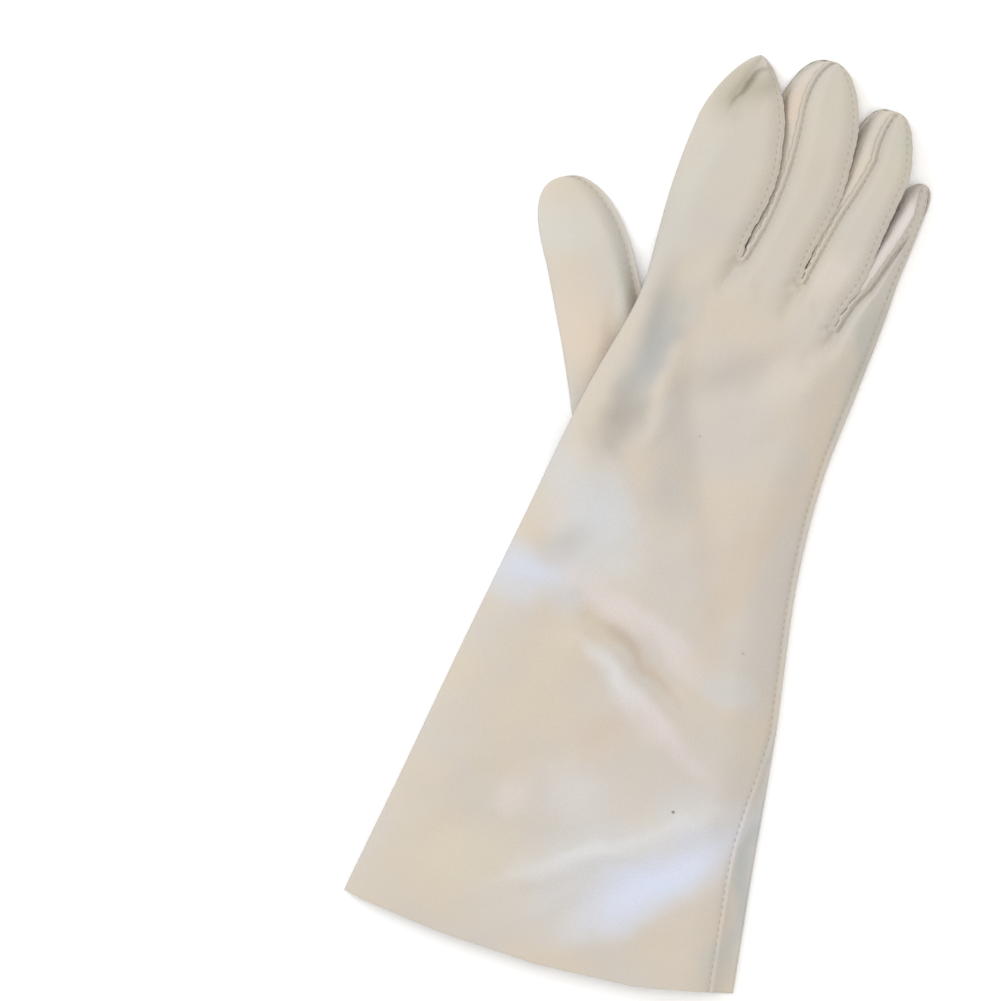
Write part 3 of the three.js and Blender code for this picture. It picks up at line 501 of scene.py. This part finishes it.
def wavering(finger, left, right, length, width):
    """Sideways shift of a finger's cloth edges, which the stitches pucker, most near the slit's foot."""
    near = np.clip(width / CRIMPED["narrow"], 0, 1)
    crimp = CRIMPED["least"] + CRIMPED["more"] * np.exp(-length / CRIMPED["fade"])
    wave = np.sin(length / 0.95) + 0.6 * np.sin(length / 0.43 + 1.3)
    shift = 0 if finger["left"] == "fold" else crimp * wave * np.clip(1 - left / SEAM, 0, 1)
    if finger["right"] == "slit":
        scallop = SCALLOP["stitches"] * np.cos(2 * math.pi * length / STITCH)
        scallop = scallop + SCALLOP["wavering"] * crimp * np.sin(length / 1.1)
        shift = shift + scallop * np.clip(1 - right / SCALLOP["width"], 0, 1)
    return shift * near


def finger_grid(lane):
    """Back and palm side of a finger, from the row over the knuckles to the tip."""
    spec = FINGERS[lane]
    tip_steps = 1 + np.arange(1, TIP_ROWS + 1) / TIP_ROWS
    steps = np.concatenate([np.arange(1, SIDE_ROWS + 1) / SIDE_ROWS, tip_steps])
    back, palm = finger_edges(spec, "back", steps), finger_edges(spec, "palm", steps)
    width = np.hypot(*(back[1] - back[0]).T)
    u = lane_shares(width, spec["left"], spec["right"])
    width = width[:, None]
    length = running(back[1])[:, None]
    high, low = finger_heights(spec, steps[:, None], u, width, length)
    top, bottom = (a[:, None, :] + (b - a)[:, None, :] * u[..., None] for a, b in (back, palm))
    top[..., 0] += wavering(spec, u * width, (1 - u) * width, length, width)
    x, y = top[..., 0], top[..., 1]
    calm = smooth(np.minimum(u, 1 - u) * width, 0, CALM)
    raised = lift(x, y)
    high = high + raised + (fold_height(x, y) + WAVE_SHARE["finger"] * wrinkles(x, y)) * calm
    return np.dstack([top, high]), np.dstack([bottom, low + raised])


def placed(name, data):
    """A new object in the scene."""
    obj = bpy.data.objects.new(name, data)
    bpy.context.scene.collection.objects.link(obj)
    return obj


class Cloth:
    """Collects grids of points and joins them to one mesh, in metres, in the frame of the part."""

    def __init__(self):
        self.points, self.faces, self.count = [], [], 0

    def grid(self, points, turned_over=False):
        rows, columns = points.shape[:2]
        ids = self.count + np.arange(rows * columns).reshape(rows, columns)
        self.points.append(points.reshape(-1, 3))
        self.count += rows * columns
        a, b, c, d = ids[:-1, :-1], ids[:-1, 1:], ids[1:, 1:], ids[1:, :-1]
        quads = np.stack([a, b, c, d] if not turned_over else [a, d, c, b], -1).reshape(-1, 4)
        self.faces.append(quads)

    def strip(self, a, b):
        self.grid(np.stack([a, b], 1))

    def tube(self, points, radius, sides=6):
        """A thread through a line of points, closed at both ends."""
        points = np.asarray(points, float)
        along = np.gradient(points, axis=0)
        along /= np.linalg.norm(along, axis=1)[:, None]
        across = np.cross(along, (0, 0, 1))
        across /= np.maximum(np.linalg.norm(across, axis=1), 1e-6)[:, None]
        over = np.cross(across, along)
        angles = np.linspace(0, 2 * math.pi, sides + 1)
        radii = radius * np.array([THREAD["end"]] + [1] * (len(points) - 2) + [THREAD["end"]])
        cos, sin = (turn(angles)[None, :, None] for turn in (np.cos, np.sin))
        ring = across[:, None] * cos + over[:, None] * sin
        self.grid(points[:, None] + ring * radii[:, None, None])

    def build(self, name, material, slot, *nodes):
        points = (np.concatenate(self.points) - (*CENTRE, 0)) / PER_METRE
        faces = np.concatenate(self.faces)
        mesh = bpy.data.meshes.new(name)
        mesh.from_pydata(points.tolist(), [], faces.tolist())
        obj = placed(name, mesh)
        weld(mesh)
        mesh.polygons.foreach_set("use_smooth", [True] * len(mesh.polygons))
        mesh.materials.append(material)
        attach(obj, "root")
        if nodes:
            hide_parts(*nodes)
        return obj


def weld(mesh):
    """Joins points that lie in one place, and drops faces that this closes up."""
    work = bmesh.new()
    work.from_mesh(mesh)
    bmesh.ops.remove_doubles(work, verts=work.verts, dist=WELDED)
    work.to_mesh(mesh)
    work.free()


def inner(points, sign):
    """The inside of a cloth surface, a cloth's thickness under or over it."""
    moved = points.copy()
    moved[..., 2] += sign * CLOTH
    return moved


def build_trank(material):
    """The one piece of cloth of back, palm side, cuff and four finger tubes, lane by lane."""
    cloth = Cloth()
    for lane, (hand_back, hand_palm) in enumerate(hand_grid()):
        back, palm = finger_grid(lane)
        high, low = np.vstack([hand_back, back]), np.vstack([hand_palm, palm])
        high_in, low_in = inner(high, -1), inner(low, 1)
        middle = (high_in[..., 2] + low_in[..., 2]) / 2
        high_in[..., 2] = np.maximum(high_in[..., 2], middle + INNER_GAP / 2)
        low_in[..., 2] = np.minimum(low_in[..., 2], middle - INNER_GAP / 2)
        cloth.grid(high)

        # The palm side has fewer rows, but not at an outer edge. The inner sides end before it.
        outer_left, outer_right = lane == 0, lane == len(FINGERS) - 1
        first = FINE_LINES if outer_left else 0
        last = -FINE_LINES if outer_right else None
        cloth.grid(low[::PALM_ROWS, first:last], turned_over=True)
        if outer_left:
            cloth.grid(low[:, :first + 1], turned_over=True)
        if outer_right:
            cloth.grid(low[:, last - 1:], turned_over=True)
        cloth.grid(high_in[::INNER_ROWS, first:last], turned_over=True)
        cloth.grid(low_in[::INNER_ROWS, first:last])

        # The cuff's mouth, then the edges: closed at an outer one, and open to the side wall along a slit.
        cloth.strip(high_in[0], high[0])
        cloth.strip(low[0], low_in[0])
        for edge, outer in ((0, outer_left), (-1, outer_right)):
            start = 0 if outer else HAND_ROWS
            for pair in ((high, low),) if outer else ((high, high_in), (low_in, low)):
                a, b = (layer[start:, edge] for layer in (pair if edge == 0 else pair[::-1]))
                cloth.strip(a, b)
    return cloth.build("trank_cloth", material, "trank_cotton", "trank")


def thumb_grid():
    """Upper and lower side of the thumb, from its root to its tip."""
    rows, tip_rows = THUMB_ROWS["side"], THUMB_ROWS["tip"]

    def edges(which, r):
        """Left and right edge, up to the tip or, seen the other way up, down to the root's end."""
        points = [THUMB["left"], THUMB["right"]]
        to = THUMB[which]
        if which == "end":
            points = [[(-y, x) for y, x in reversed(p)] for p in points]
            to = (to[0], -to[1])
        start = points[0][-1][0]
        squareness = THUMB[which + "_squareness"]
        middle = (follow(points[0], start) + follow(points[1], start)) / 2
        both = [edge_points(p, middle, start, to, squareness[i], r) for i, p in enumerate(points)]
        if which == "end":
            both = [b * (1, -1) for b in both]
        return both

    end_steps = 2 - np.arange(tip_rows) / tip_rows
    side_steps = np.concatenate([np.arange(rows + 1) / rows, 1 + np.arange(1, tip_rows + 1) / tip_rows])
    end, side = edges("end", end_steps), edges("tip", side_steps)
    left, right = (np.vstack([end[i], side[i]]) for i in range(2))
    steps = np.concatenate([end_steps, side_steps])
    width = np.hypot(*(right - left).T)[:, None]
    u = lane_shares(width[:, 0], "fold", "seam")
    up = quarter(steps - 1)[:, None]
    dl, dr = u * width, (1 - u) * width
    length = running(right)[:, None]
    scale = np.clip(width / (2 * REACH["fold"]), 0.01, 1)
    low = (curl("fold", dl) + curl("seam", dr)) * (1 - up) + up ** 3
    bulge = rise("fold", dl, scale) * rise("slit", dr, scale) * np.sqrt(1 - up ** 2)
    edge = mix(mix(EDGE_HEIGHT["fold"], EDGE_HEIGHT["seam"], u), EDGE_HEIGHT["seam"], up)
    sewn = stitched(dr, length, **SEWN_EDGES["thumb"]) * np.clip(width / NARROW, 0, 1)
    high = np.minimum(low + edge + THUMB["crown"] * bulge, THUMB_HEIGHT) + sewn
    flat = left[:, None] + (right - left)[:, None] * u[..., None]
    x, y = turned(flat[..., 0], flat[..., 1])
    high = high + WAVE_SHARE["thumb"] * wrinkles(x, y) * bulge
    return np.stack([x, y, high], -1), np.stack([x, y, low], -1)


def build_thumb(material):
    """A flat bag with a fold on its outer side and a seam round its tip and inner side."""
    top, bottom = thumb_grid()
    cloth = Cloth()
    cloth.grid(top)
    cloth.grid(bottom, turned_over=True)
    cloth.strip(top[:, 0], bottom[:, 0])
    cloth.strip(bottom[:, -1], top[:, -1])
    return cloth.build("thumb_cloth", material, "thumb_cotton", "thumb")


def wall_edge(finger, index, key, steps):
    """A side wall's upper or lower edge on one finger, from the slit's foot to the tip."""
    edges = finger_edges(finger, key, steps)
    width = np.hypot(*(edges[1] - edges[0]).T)[:, None]
    inside = SET_IN / np.maximum(width, 4) if key == "palm" else 0 * width
    u = inside if index == 0 else 1 - inside
    high, low = finger_heights(finger, steps[:, None], u, width, running(edges[index])[:, None])
    z = high - CLOTH if key == "back" else low + CLOTH / 2
    return np.hstack([edges[index], z])


def inward(path, foot):
    """Directions across a wall's path, into the fingers. The path turns back at the slit's foot."""
    flat = path[:, :2]
    along = np.gradient(flat, axis=0)
    along[foot] = flat[foot + 1] - flat[foot - 1]
    normal = np.stack([along[:, 1], -along[:, 0]], -1)
    return normal / np.maximum(np.linalg.norm(normal, axis=1), 1e-6)[:, None]


def wall_bulge(lane, back, palm, foot, away):
    """How far a wall bulges along its path, and how far it would where nothing is near."""
    flat = back[:, :2]
    across = np.hypot(*(flat[:, None] - flat[None]).transpose(2, 0, 1))
    half_gap = np.append(across[:foot, foot:].min(1), across[foot:, :foot + 1].min(1)) / 2
    room = SET_IN + half_gap[:, None] - WALL_BULGE["apart"]
    room = np.clip(room, WALL_BULGE["least"], WALL_BULGE["most"])
    free = np.where(np.arange(len(away)) > foot, WALL_BULGE["beside"][lane], WALL_BULGE["under"])[:, None]
    tall = np.clip((back[:, 2:] - palm[:, 2:]) / WALL_BULGE["full"], 0, 1)
    return mix(room, free, smooth(away, 2, WALL_BULGE["reach"])) * tall, free


def build_fourchette(lane, material):
    """The V-shaped wall down one finger's side and up the next one's, flared to meet the cloth edges."""
    fingers = FINGERS[lane:lane + 2]
    name = "_".join(["fourchette"] + [finger["name"] for finger in fingers])
    tip = 1 + np.append(np.arange(1, TIP_ROWS), [TIP_ROWS - 0.4, TIP_ROWS]) / TIP_ROWS
    steps = np.concatenate([np.arange(0, SIDE_ROWS + 1) / SIDE_ROWS, tip])
    foot = len(steps) - 1
    widths = [np.hypot(*np.subtract(*finger_edges(finger, "back", steps)).T) for finger in fingers]
    narrow = np.clip(np.append(widths[0][::-1], widths[1][1:]) / NARROW, 0, 1)[:, None]
    paths = []
    for key in ("back", "palm"):
        down, up = (wall_edge(finger, 1 - i, key, steps) for i, finger in enumerate(fingers))
        paths.append(np.vstack([down[::-1], up[1:]]))
    turns = [inward(path, foot) for path in paths]
    flat = paths[0][:, :2]
    length = running(flat)[:, None]
    away = np.hypot(*(flat - flat[foot]).T)[:, None]
    bulge, free = wall_bulge(lane, *paths, foot, away)
    t = np.linspace(0, 1, WALL_LINES)
    flare = np.exp(-t / WALL_FLARE)
    crumple = 0.16 * np.sin(length / 4.3 + 2 * t) + 0.1 * np.sin(length / 1.9 + 1.4 + 5 * t)
    sharp = mix(*WALL_BULGE["sharp"], smooth(away, 0, WALL_BULGE["reach"]))
    round_out = np.sin(math.pi * t ** sharp) * (1 - 0.4 * smooth(t, 0.6, 1))
    set_in = (SET_IN * (1 - 0.85 * flare) - bulge * round_out + crumple * np.sin(math.pi * t)) * narrow
    layers = []
    for depth in (0, CLOTH):
        lines = []
        for i, share in enumerate(t):
            line = mix(*paths, share)
            line[:, :2] += mix(*turns, share) * (set_in[:, i:i + 1] + depth * narrow)
            line[:, 2:] += WALL_BULGE["up"][lane] * np.minimum(bulge, free) * round_out[:, i:i + 1]
            lines.append(line)
        layers.append(np.stack(lines, 1))
    outer, inside = layers
    cloth = Cloth()
    cloth.grid(outer, turned_over=True)
    cloth.grid(inside)
    cloth.strip(outer[:, 0], inside[:, 0])
    cloth.strip(inside[:, -1], outer[:, -1])
    cloth.strip(inside[0], outer[0])
    cloth.strip(outer[-1], inside[-1])
    return cloth.build(name + "_cloth", material, "fourchette_cotton", name)


def stitch_points(line):
    """Short threads in a row along a line, as lists of points."""
    length = running(line[:, :2])
    arch = THREAD["arch"] * np.sin(np.linspace(0, math.pi, THREAD["points"])) - THREAD["sunk"]
    out = []
    at = THREAD["first"]
    while at + THREAD["length"] < length[-1]:
        along = np.linspace(at, at + THREAD["length"], THREAD["points"])
        x, y, z = (np.interp(along, length, line[:, k]) for k in range(3))
        out.append(np.stack([x, y, z + arch], -1))
        at += STITCH
    return out


def build_stitches(material):
    """The rows of hand-made running stitches beside the cloth edges of fingers, side seam and thumb."""
    left = SEAM_LINES.index(SEAM)
    right = dict(slit=-1 - left, seam=-1 - TURN_LINES - left)
    hand, thumb = hand_grid()[-1][0], thumb_grid()[0]
    lines = [hand[:, right["seam"]], thumb[:-PLAIN_ROWS, right["seam"]]]
    for lane, spec in enumerate(FINGERS):
        finger = finger_grid(lane)[0]
        lines.append(finger[:-PLAIN_ROWS, right[spec["right"]]])
        if spec["left"] != "fold":
            lines.append(finger[:-PLAIN_ROWS, left])
    cloth = Cloth()
    for line in lines:
        for points in stitch_points(line):
            cloth.tube(points, THREAD["radius"])
    return cloth.build("stitches", material, "trank_cotton")


def table(columns, rows):
    """Rows of a table as dictionaries, by the names of its columns."""
    return [dict(zip(columns, row)) for row in rows]


# Soft patches of tone on the cloth. Many are painted light and painted shade, marked row by row below:
# painted shade in hollows, creases and on edges that turn away, and painted cool window light and warm light
# on ridges, walls and open cloth. The others only tint the cloth. at is the middle, size the half length and
# half width, turn the angle of the length from +X, in degrees. tone is how the patch looks, as red, green and
# blue from
# 0 to 255, and strength how much of it shows.
PATCH_COLUMNS = ("name", "at", "size", "turn", "tone", "strength")
PATCHES = table(PATCH_COLUMNS, [
    ("cooler fingers", (14, 134), (75, 62), 0, (200, 195, 182), 0.6),
    # Next two rows: painted shade in the hollow over the thumb's root and below it.
    ("thumb hollow", (-21, 56), (36, 9), 80, (168, 171, 170), 0.8),
    ("painted shade below the hollow", (-25, 24), (21, 11), 75, (168, 162, 153), 0.8),
    # Next row: painted warm light on the ridge beside that hollow.
    ("painted warm light beside the hollow", (-10, 50), (26, 6), 82, (216, 204, 186), 0.6),
    # Next two rows: painted cool window light on the wrist.
    ("painted cool light on the wrist", (-25, -14), (34, 22), -45, (209, 211, 214), 0.95),
    ("painted cool light band", (-43, -46), (28, 15), 22, (206, 211, 223), 0.95),
    ("grey wrist edge", (-33, -28), (17, 11), 30, (191, 189, 187), 0.7),
    # Next five rows: painted light along the cuff's two ridges and the small crease above them, pink or cool
    # at the ridges' ends.
    ("painted pink light on the wrist", (-4, -48), (26, 8), -32, (219, 208, 204), 0.7),
    ("first ridge light", (7, -76), (32, 6), -29, (219, 217, 217), 0.9),
    ("painted pink light at the lower ridge end", (33, -90), (26, 7), -25, (219, 207, 205), 0.8),
    ("upper ridge light", (14, -50), (48, 8), -21, (218, 208, 206), 0.8),
    ("painted cool light at the upper ridge end", (49, -62), (20, 8), -22, (205, 204, 200), 0.7),
    ("ridge shade", (9, -63), (34, 4.5), -24, (194, 179, 162), 0.9),
    # Next two rows: painted cool window light over the hem.
    ("painted cool light on the hem", (32, -144), (66, 28), 36, (211, 211, 213), 0.95),
    ("painted bright light on the hem", (46, -143), (46, 15), 50, (212, 219, 238), 1.0),
    # Next row: a painted highlight along the hem's ridge.
    ("painted highlight on the hem ridge", (20, -141), (56, 5), 37, (218, 217, 218), 0.8),
    ("pale pink cuff", (-21, -128), (11, 9), 10, (219, 208, 206), 0.7),
    ("pale cuff", (6, -120), (20, 14), 10, (213, 208, 205), 0.8),
    ("warm cuff", (9, -94), (14, 11), 0, (208, 192, 176), 0.8),
    ("yellow corner", (-36, -162), (36, 24), 10, (213, 203, 184), 0.9),
    ("greenish cuff", (-32, -128), (14, 12), 40, (202, 197, 183), 0.5),
    ("warm side", (42, -16), (44, 15), 84, (206, 190, 172), 0.8),
    ("warm middle", (22, -12), (22, 9), -60, (207, 193, 180), 0.6),
    ("grey middle", (2, 4), (20, 12), -60, (192, 189, 184), 0.7),
    ("knuckle shade", (12, 60), (24, 12), 35, (192, 183, 176), 0.75),
    ("pale palm side", (32, 58), (14, 9), 40, (213, 204, 192), 0.6),
    # Next two rows: painted shade along the hand's outer side, which turns away from the light.
    ("painted shade on the hand side", (60, 50), (34, 3), 86, (186, 187, 183), 0.5),
    ("painted shade by the little finger", (60, 84), (26, 5), 83, (180, 183, 176), 0.55),
    ("grey index root", (-14, 112), (15, 11), 20, (199, 193, 188), 0.6),
    # Next two rows: painted shade on the index fingertip and in its crease.
    ("index tip", (-20, 165), (19, 11), 52, (172, 166, 146), 0.8),
    ("index crease", (-18.6, 168), (15, 1.6), 66, (128, 120, 102), 0.85),
    ("index side", (-28, 135), (24, 6), 84, (206, 203, 190), 0.6),
    ("middle fingertip", (20, 172), (14, 10), 70, (203, 199, 182), 0.7),
    # Next two rows: painted shade on the middle finger, and on the palm side's strip past the turned side
    # seam.
    ("painted shade on the middle finger", (19, 141), (12, 5), 80, (204, 192, 178), 0.6),
    ("painted shade past the turned seam", (79, -126), (66, 6), 92, (186, 190, 189), 0.9),
    ("ring fingertip", (48, 162), (14, 7), 85, (199, 197, 178), 0.7),
    ("pink ring root", (40, 108), (14, 9), 70, (218, 206, 198), 0.7),
])
THUMB_PATCHES = table(PATCH_COLUMNS, [
    # Next row: painted cool window light on the thumb's tip.
    ("painted cool light on the tip", (-72, 92), (22, 13), 10, (208, 207, 201), 0.65),
    ("warm root", (-50, 55), (28, 11), 117, (218, 202, 184), 0.9),
    ("grey seam side", (-42, 84), (30, 5), 115, (207, 206, 198), 0.7),
    ("shade at the hand", (-38, 48), (26, 5), 100, (196, 178, 164), 0.7),
])
WALL_PATCHES = table(PATCH_COLUMNS, [
    # Next two rows: painted light on the side walls, warm on the middle finger's and pale pink on the little
    # finger's.
    ("painted warm light on a wall", (1, 160), (26, 7), 80, (218, 198, 180), 0.8),
    ("painted pale light on a wall", (57, 130), (30, 9), 72, (222, 214, 209), 0.85),
])
# Small marks on the cloth, as in the tables above, with a radius.
SPECKS = [
    dict(name="dark speck", at=(42.9, -116.5), radius=0.75, tone=(132, 124, 112), strength=0.9),
    dict(name="faint speck on the cuff", at=(49.9, -48), radius=0.7, tone=(176, 168, 156), strength=0.8),
    dict(name="faint speck on the hand", at=(7, 28.8), radius=0.7, tone=(182, 176, 166), strength=0.7),
]
PATCH = dict(soft=0.05, speck_soft=0.4, end=1.25)  # shares of its size between which a patch fades
PATCH_EDGE = dict(scale=32, width=0.026)  # how a patch's edge wavers, in waves and metres
COTTON = dict(cloud=26, fine=900, nap=1500, knit=1400, crumple=150)  # scales of its noise, per metre
EXPOSED = 1.18  # how bright the lights make a white surface that lies flat


def colour_of(tone):
    """The linear colour that looks like a tone in the light of this scene."""
    return tuple(((c / 255 + 0.055) / 1.055) ** 2.4 / EXPOSED for c in tone)


class Material:
    """Small helpers to join shader nodes."""

    def __init__(self, name):
        self.material = bpy.data.materials.new(name)
        self.material.use_nodes = True
        self.nodes = self.material.node_tree.nodes
        self.links = self.material.node_tree.links
        self.shader = self.nodes["Principled BSDF"]
        self.place = self.nodes.new("ShaderNodeTexCoord").outputs["Object"]

    def put(self, kind, inputs=(), **settings):
        """A new node, with its settings, and with a value or a link on each input that is named."""
        node = self.nodes.new("ShaderNode" + kind)
        for key, value in settings.items():
            setattr(node, key, value)
        for key, value in dict(inputs).items():
            if isinstance(value, bpy.types.NodeSocket):
                self.links.new(value, node.inputs[key])
            else:
                node.inputs[key].default_value = value
        return node

    def noise(self, scale, detail, roughness=0.5, output="Fac"):
        inputs = {"Vector": self.place, "Scale": scale, "Detail": detail, "Roughness": roughness}
        return self.put("TexNoise", inputs).outputs[output]

    def spread(self, value, low, high, to_low=0.0, to_high=1.0):
        inputs = {"Value": value, "From Min": low, "From Max": high, "To Min": to_low, "To Max": to_high}
        return self.put("MapRange", inputs, interpolation_type="SMOOTHSTEP").outputs["Result"]

    def blend(self, factor, a, b):
        a, b = (v if isinstance(v, bpy.types.NodeSocket) else (*v, 1) for v in (a, b))
        return self.put("Mix", {"Factor": factor, 6: a, 7: b}, data_type="RGBA").outputs[2]

    def uneven_place(self):
        """Coordinates that waver, so that a patch has no even edge."""
        waver = self.noise(PATCH_EDGE["scale"], 2, output="Color")
        middle = self.put("VectorMath", {0: waver, 1: (0.5, 0.5, 0.5)}, operation="SUBTRACT").outputs[0]
        scaled = {0: middle, "Scale": PATCH_EDGE["width"]}
        moved = self.put("VectorMath", scaled, operation="SCALE").outputs[0]
        return self.put("VectorMath", {0: self.place, 1: moved}, operation="ADD").outputs[0]

    def patched(self, colour, place, patches, soft):
        """A colour with a table's patches on it, which fade from a soft share of their size on."""
        for patch in patches:
            length, width = patch.get("size") or (patch["radius"], patch["radius"])
            x, y = patch["at"]
            inputs = {
                "Vector": place,
                "Location": ((x - CENTRE[0]) / PER_METRE, (y - CENTRE[1]) / PER_METRE, 0),
                "Rotation": (0, 0, math.radians(patch.get("turn", 0))),
                "Scale": (length / PER_METRE, width / PER_METRE, 1),
            }
            away = self.put("Mapping", inputs, vector_type="TEXTURE").outputs[0]
            distance = self.put("VectorMath", {0: away}, operation="LENGTH").outputs["Value"]
            factor = self.spread(distance, soft, PATCH["end"], patch["strength"], 0)
            colour = self.blend(factor, colour, colour_of(patch["tone"]))
        return colour


def cotton(name, tone, patches=(), specks=()):
    """Matte sueded cotton: a very fine close knit, a soft nap, uneven tone, and a table's patches, many of
    them painted light and painted shade.
    """
    made = Material(name)
    red, green, blue = tone
    warm = colour_of((red + 3, green - 1, blue - 6))
    cool = colour_of((red - 4, green - 2, blue + 2))
    cloud = made.blend(made.spread(made.noise(COTTON["cloud"], 3), 0.32, 0.68), warm, cool)
    patched = made.patched(cloud, made.uneven_place(), patches, PATCH["soft"])
    shade = tuple(0.9 * c for c in colour_of(tone))
    fine = made.spread(made.noise(COTTON["fine"], 2, 0.7), 0.3, 0.75, 0.16, 0)
    napped = made.blend(fine, patched, shade)
    specked = made.patched(napped, made.place, specks, PATCH["speck_soft"])
    made.links.new(specked, made.shader.inputs["Base Color"])

    nap = made.noise(COTTON["nap"], 3, 0.65)
    knit = made.put("TexVoronoi", {"Vector": made.place, "Scale": COTTON["knit"]}).outputs["Distance"]
    crumple = made.noise(COTTON["crumple"], 3, 0.55)
    relief = made.put("Math", {0: nap, 1: knit}, operation="ADD").outputs[0]
    relief = made.put("Math", {0: crumple, 1: 1.5, 2: relief}, operation="MULTIPLY_ADD").outputs[0]
    bump = made.put("Bump", {"Height": relief, "Strength": 0.35, "Distance": 0.0003})
    made.links.new(bump.outputs["Normal"], made.shader.inputs["Normal"])
    surface = {"Roughness": 0.92, "Specular IOR Level": 0.2, "Sheen Weight": 0.12, "Sheen Roughness": 0.6}
    for key, value in surface.items():
        made.shader.inputs[key].default_value = value
    return made.material


def plain(name, colour, roughness):
    """A material of one colour, for the thread and the floor."""
    material = bpy.data.materials.new(name)
    material.use_nodes = True
    shader = material.node_tree.nodes["Principled BSDF"]
    shader.inputs["Base Color"].default_value = (*colour, 1)
    shader.inputs["Roughness"].default_value = roughness
    return material


# The studio, in metres: its disk lights, its world and floor, and the camera straight over the middle of the
# picture. span is the picture's longer side on the floor.
LIGHTS = [
    dict(name="cool_side", place=(-1.3, 0.45, 0.9), size=0.8, power=9, colour=(0.88, 0.94, 1.0)),
    dict(name="warm_side", place=(0.9, -0.5, 1.2), size=0.8, power=3, colour=(1.0, 0.92, 0.84)),
    dict(name="overhead", place=(-0.25, 0.15, 2.0), size=1.1, power=11, colour=(1.0, 0.99, 0.975)),
]
WORLD = dict(colour=(1, 0.99, 0.98), strength=0.78)
FLOOR = dict(half=3.0, height=-0.0004, colour=(0.97, 0.97, 0.97), roughness=0.9)
CAMERA = dict(over=(-0.0636, -0.01837), turn=18, lens=150, sensor=36, span=0.4004)


def area_light(name, place, size, power, colour):
    """A disk light that shines on the origin."""
    light = bpy.data.lights.new(name, "AREA")
    light.shape = "DISK"
    light.size = size
    light.energy = power
    light.color = colour
    obj = placed(name, light)
    obj.location = place
    obj.rotation_euler = (Vector((0, 0, 0)) - Vector(place)).to_track_quat("-Z", "Y").to_euler()


def build_floor():
    mesh = bpy.data.meshes.new("floor")
    half = FLOOR["half"]
    corners = [(-half, -half, 0), (half, -half, 0), (half, half, 0), (-half, half, 0)]
    mesh.from_pydata(corners, [], [(0, 1, 2, 3)])
    mesh.materials.append(plain("pale_floor", FLOOR["colour"], FLOOR["roughness"]))
    floor = placed("floor", mesh)
    floor.location.z = FLOOR["height"]


def build_world():
    world = bpy.data.worlds.new("studio")
    world.use_nodes = True
    background = world.node_tree.nodes["Background"]
    background.inputs["Color"].default_value = (*WORLD["colour"], 1)
    background.inputs["Strength"].default_value = WORLD["strength"]
    bpy.context.scene.world = world


def build_camera():
    """A camera that looks straight down."""
    camera = bpy.data.cameras.new("camera")
    camera.lens = CAMERA["lens"]
    camera.sensor_width = CAMERA["sensor"]
    eye = placed("camera", camera)
    eye.location = (*CAMERA["over"], CAMERA["span"] * camera.lens / camera.sensor_width)
    eye.rotation_euler = (0, 0, math.radians(CAMERA["turn"]))
    bpy.context.scene.camera = eye
    bpy.context.scene.view_settings.view_transform = "Standard"


body_cotton = cotton("trank_cotton", (207, 199, 187), PATCHES, SPECKS)
thumb_cotton = cotton("thumb_cotton", (209, 201, 188), THUMB_PATCHES)
# The side walls are the same cloth as the back, painted lighter to offset the shade between the fingers.
lightened_wall_cotton = cotton("fourchette_cotton", (214, 206, 193), WALL_PATCHES)
build_trank(body_cotton)
build_thumb(thumb_cotton)
for lane in range(len(FINGERS) - 1):
    build_fourchette(lane, lightened_wall_cotton)
build_stitches(plain("thread", colour_of((180, 171, 155)), 0.8))
build_floor()
build_world()
for light in LIGHTS:
    area_light(**light)
build_camera()
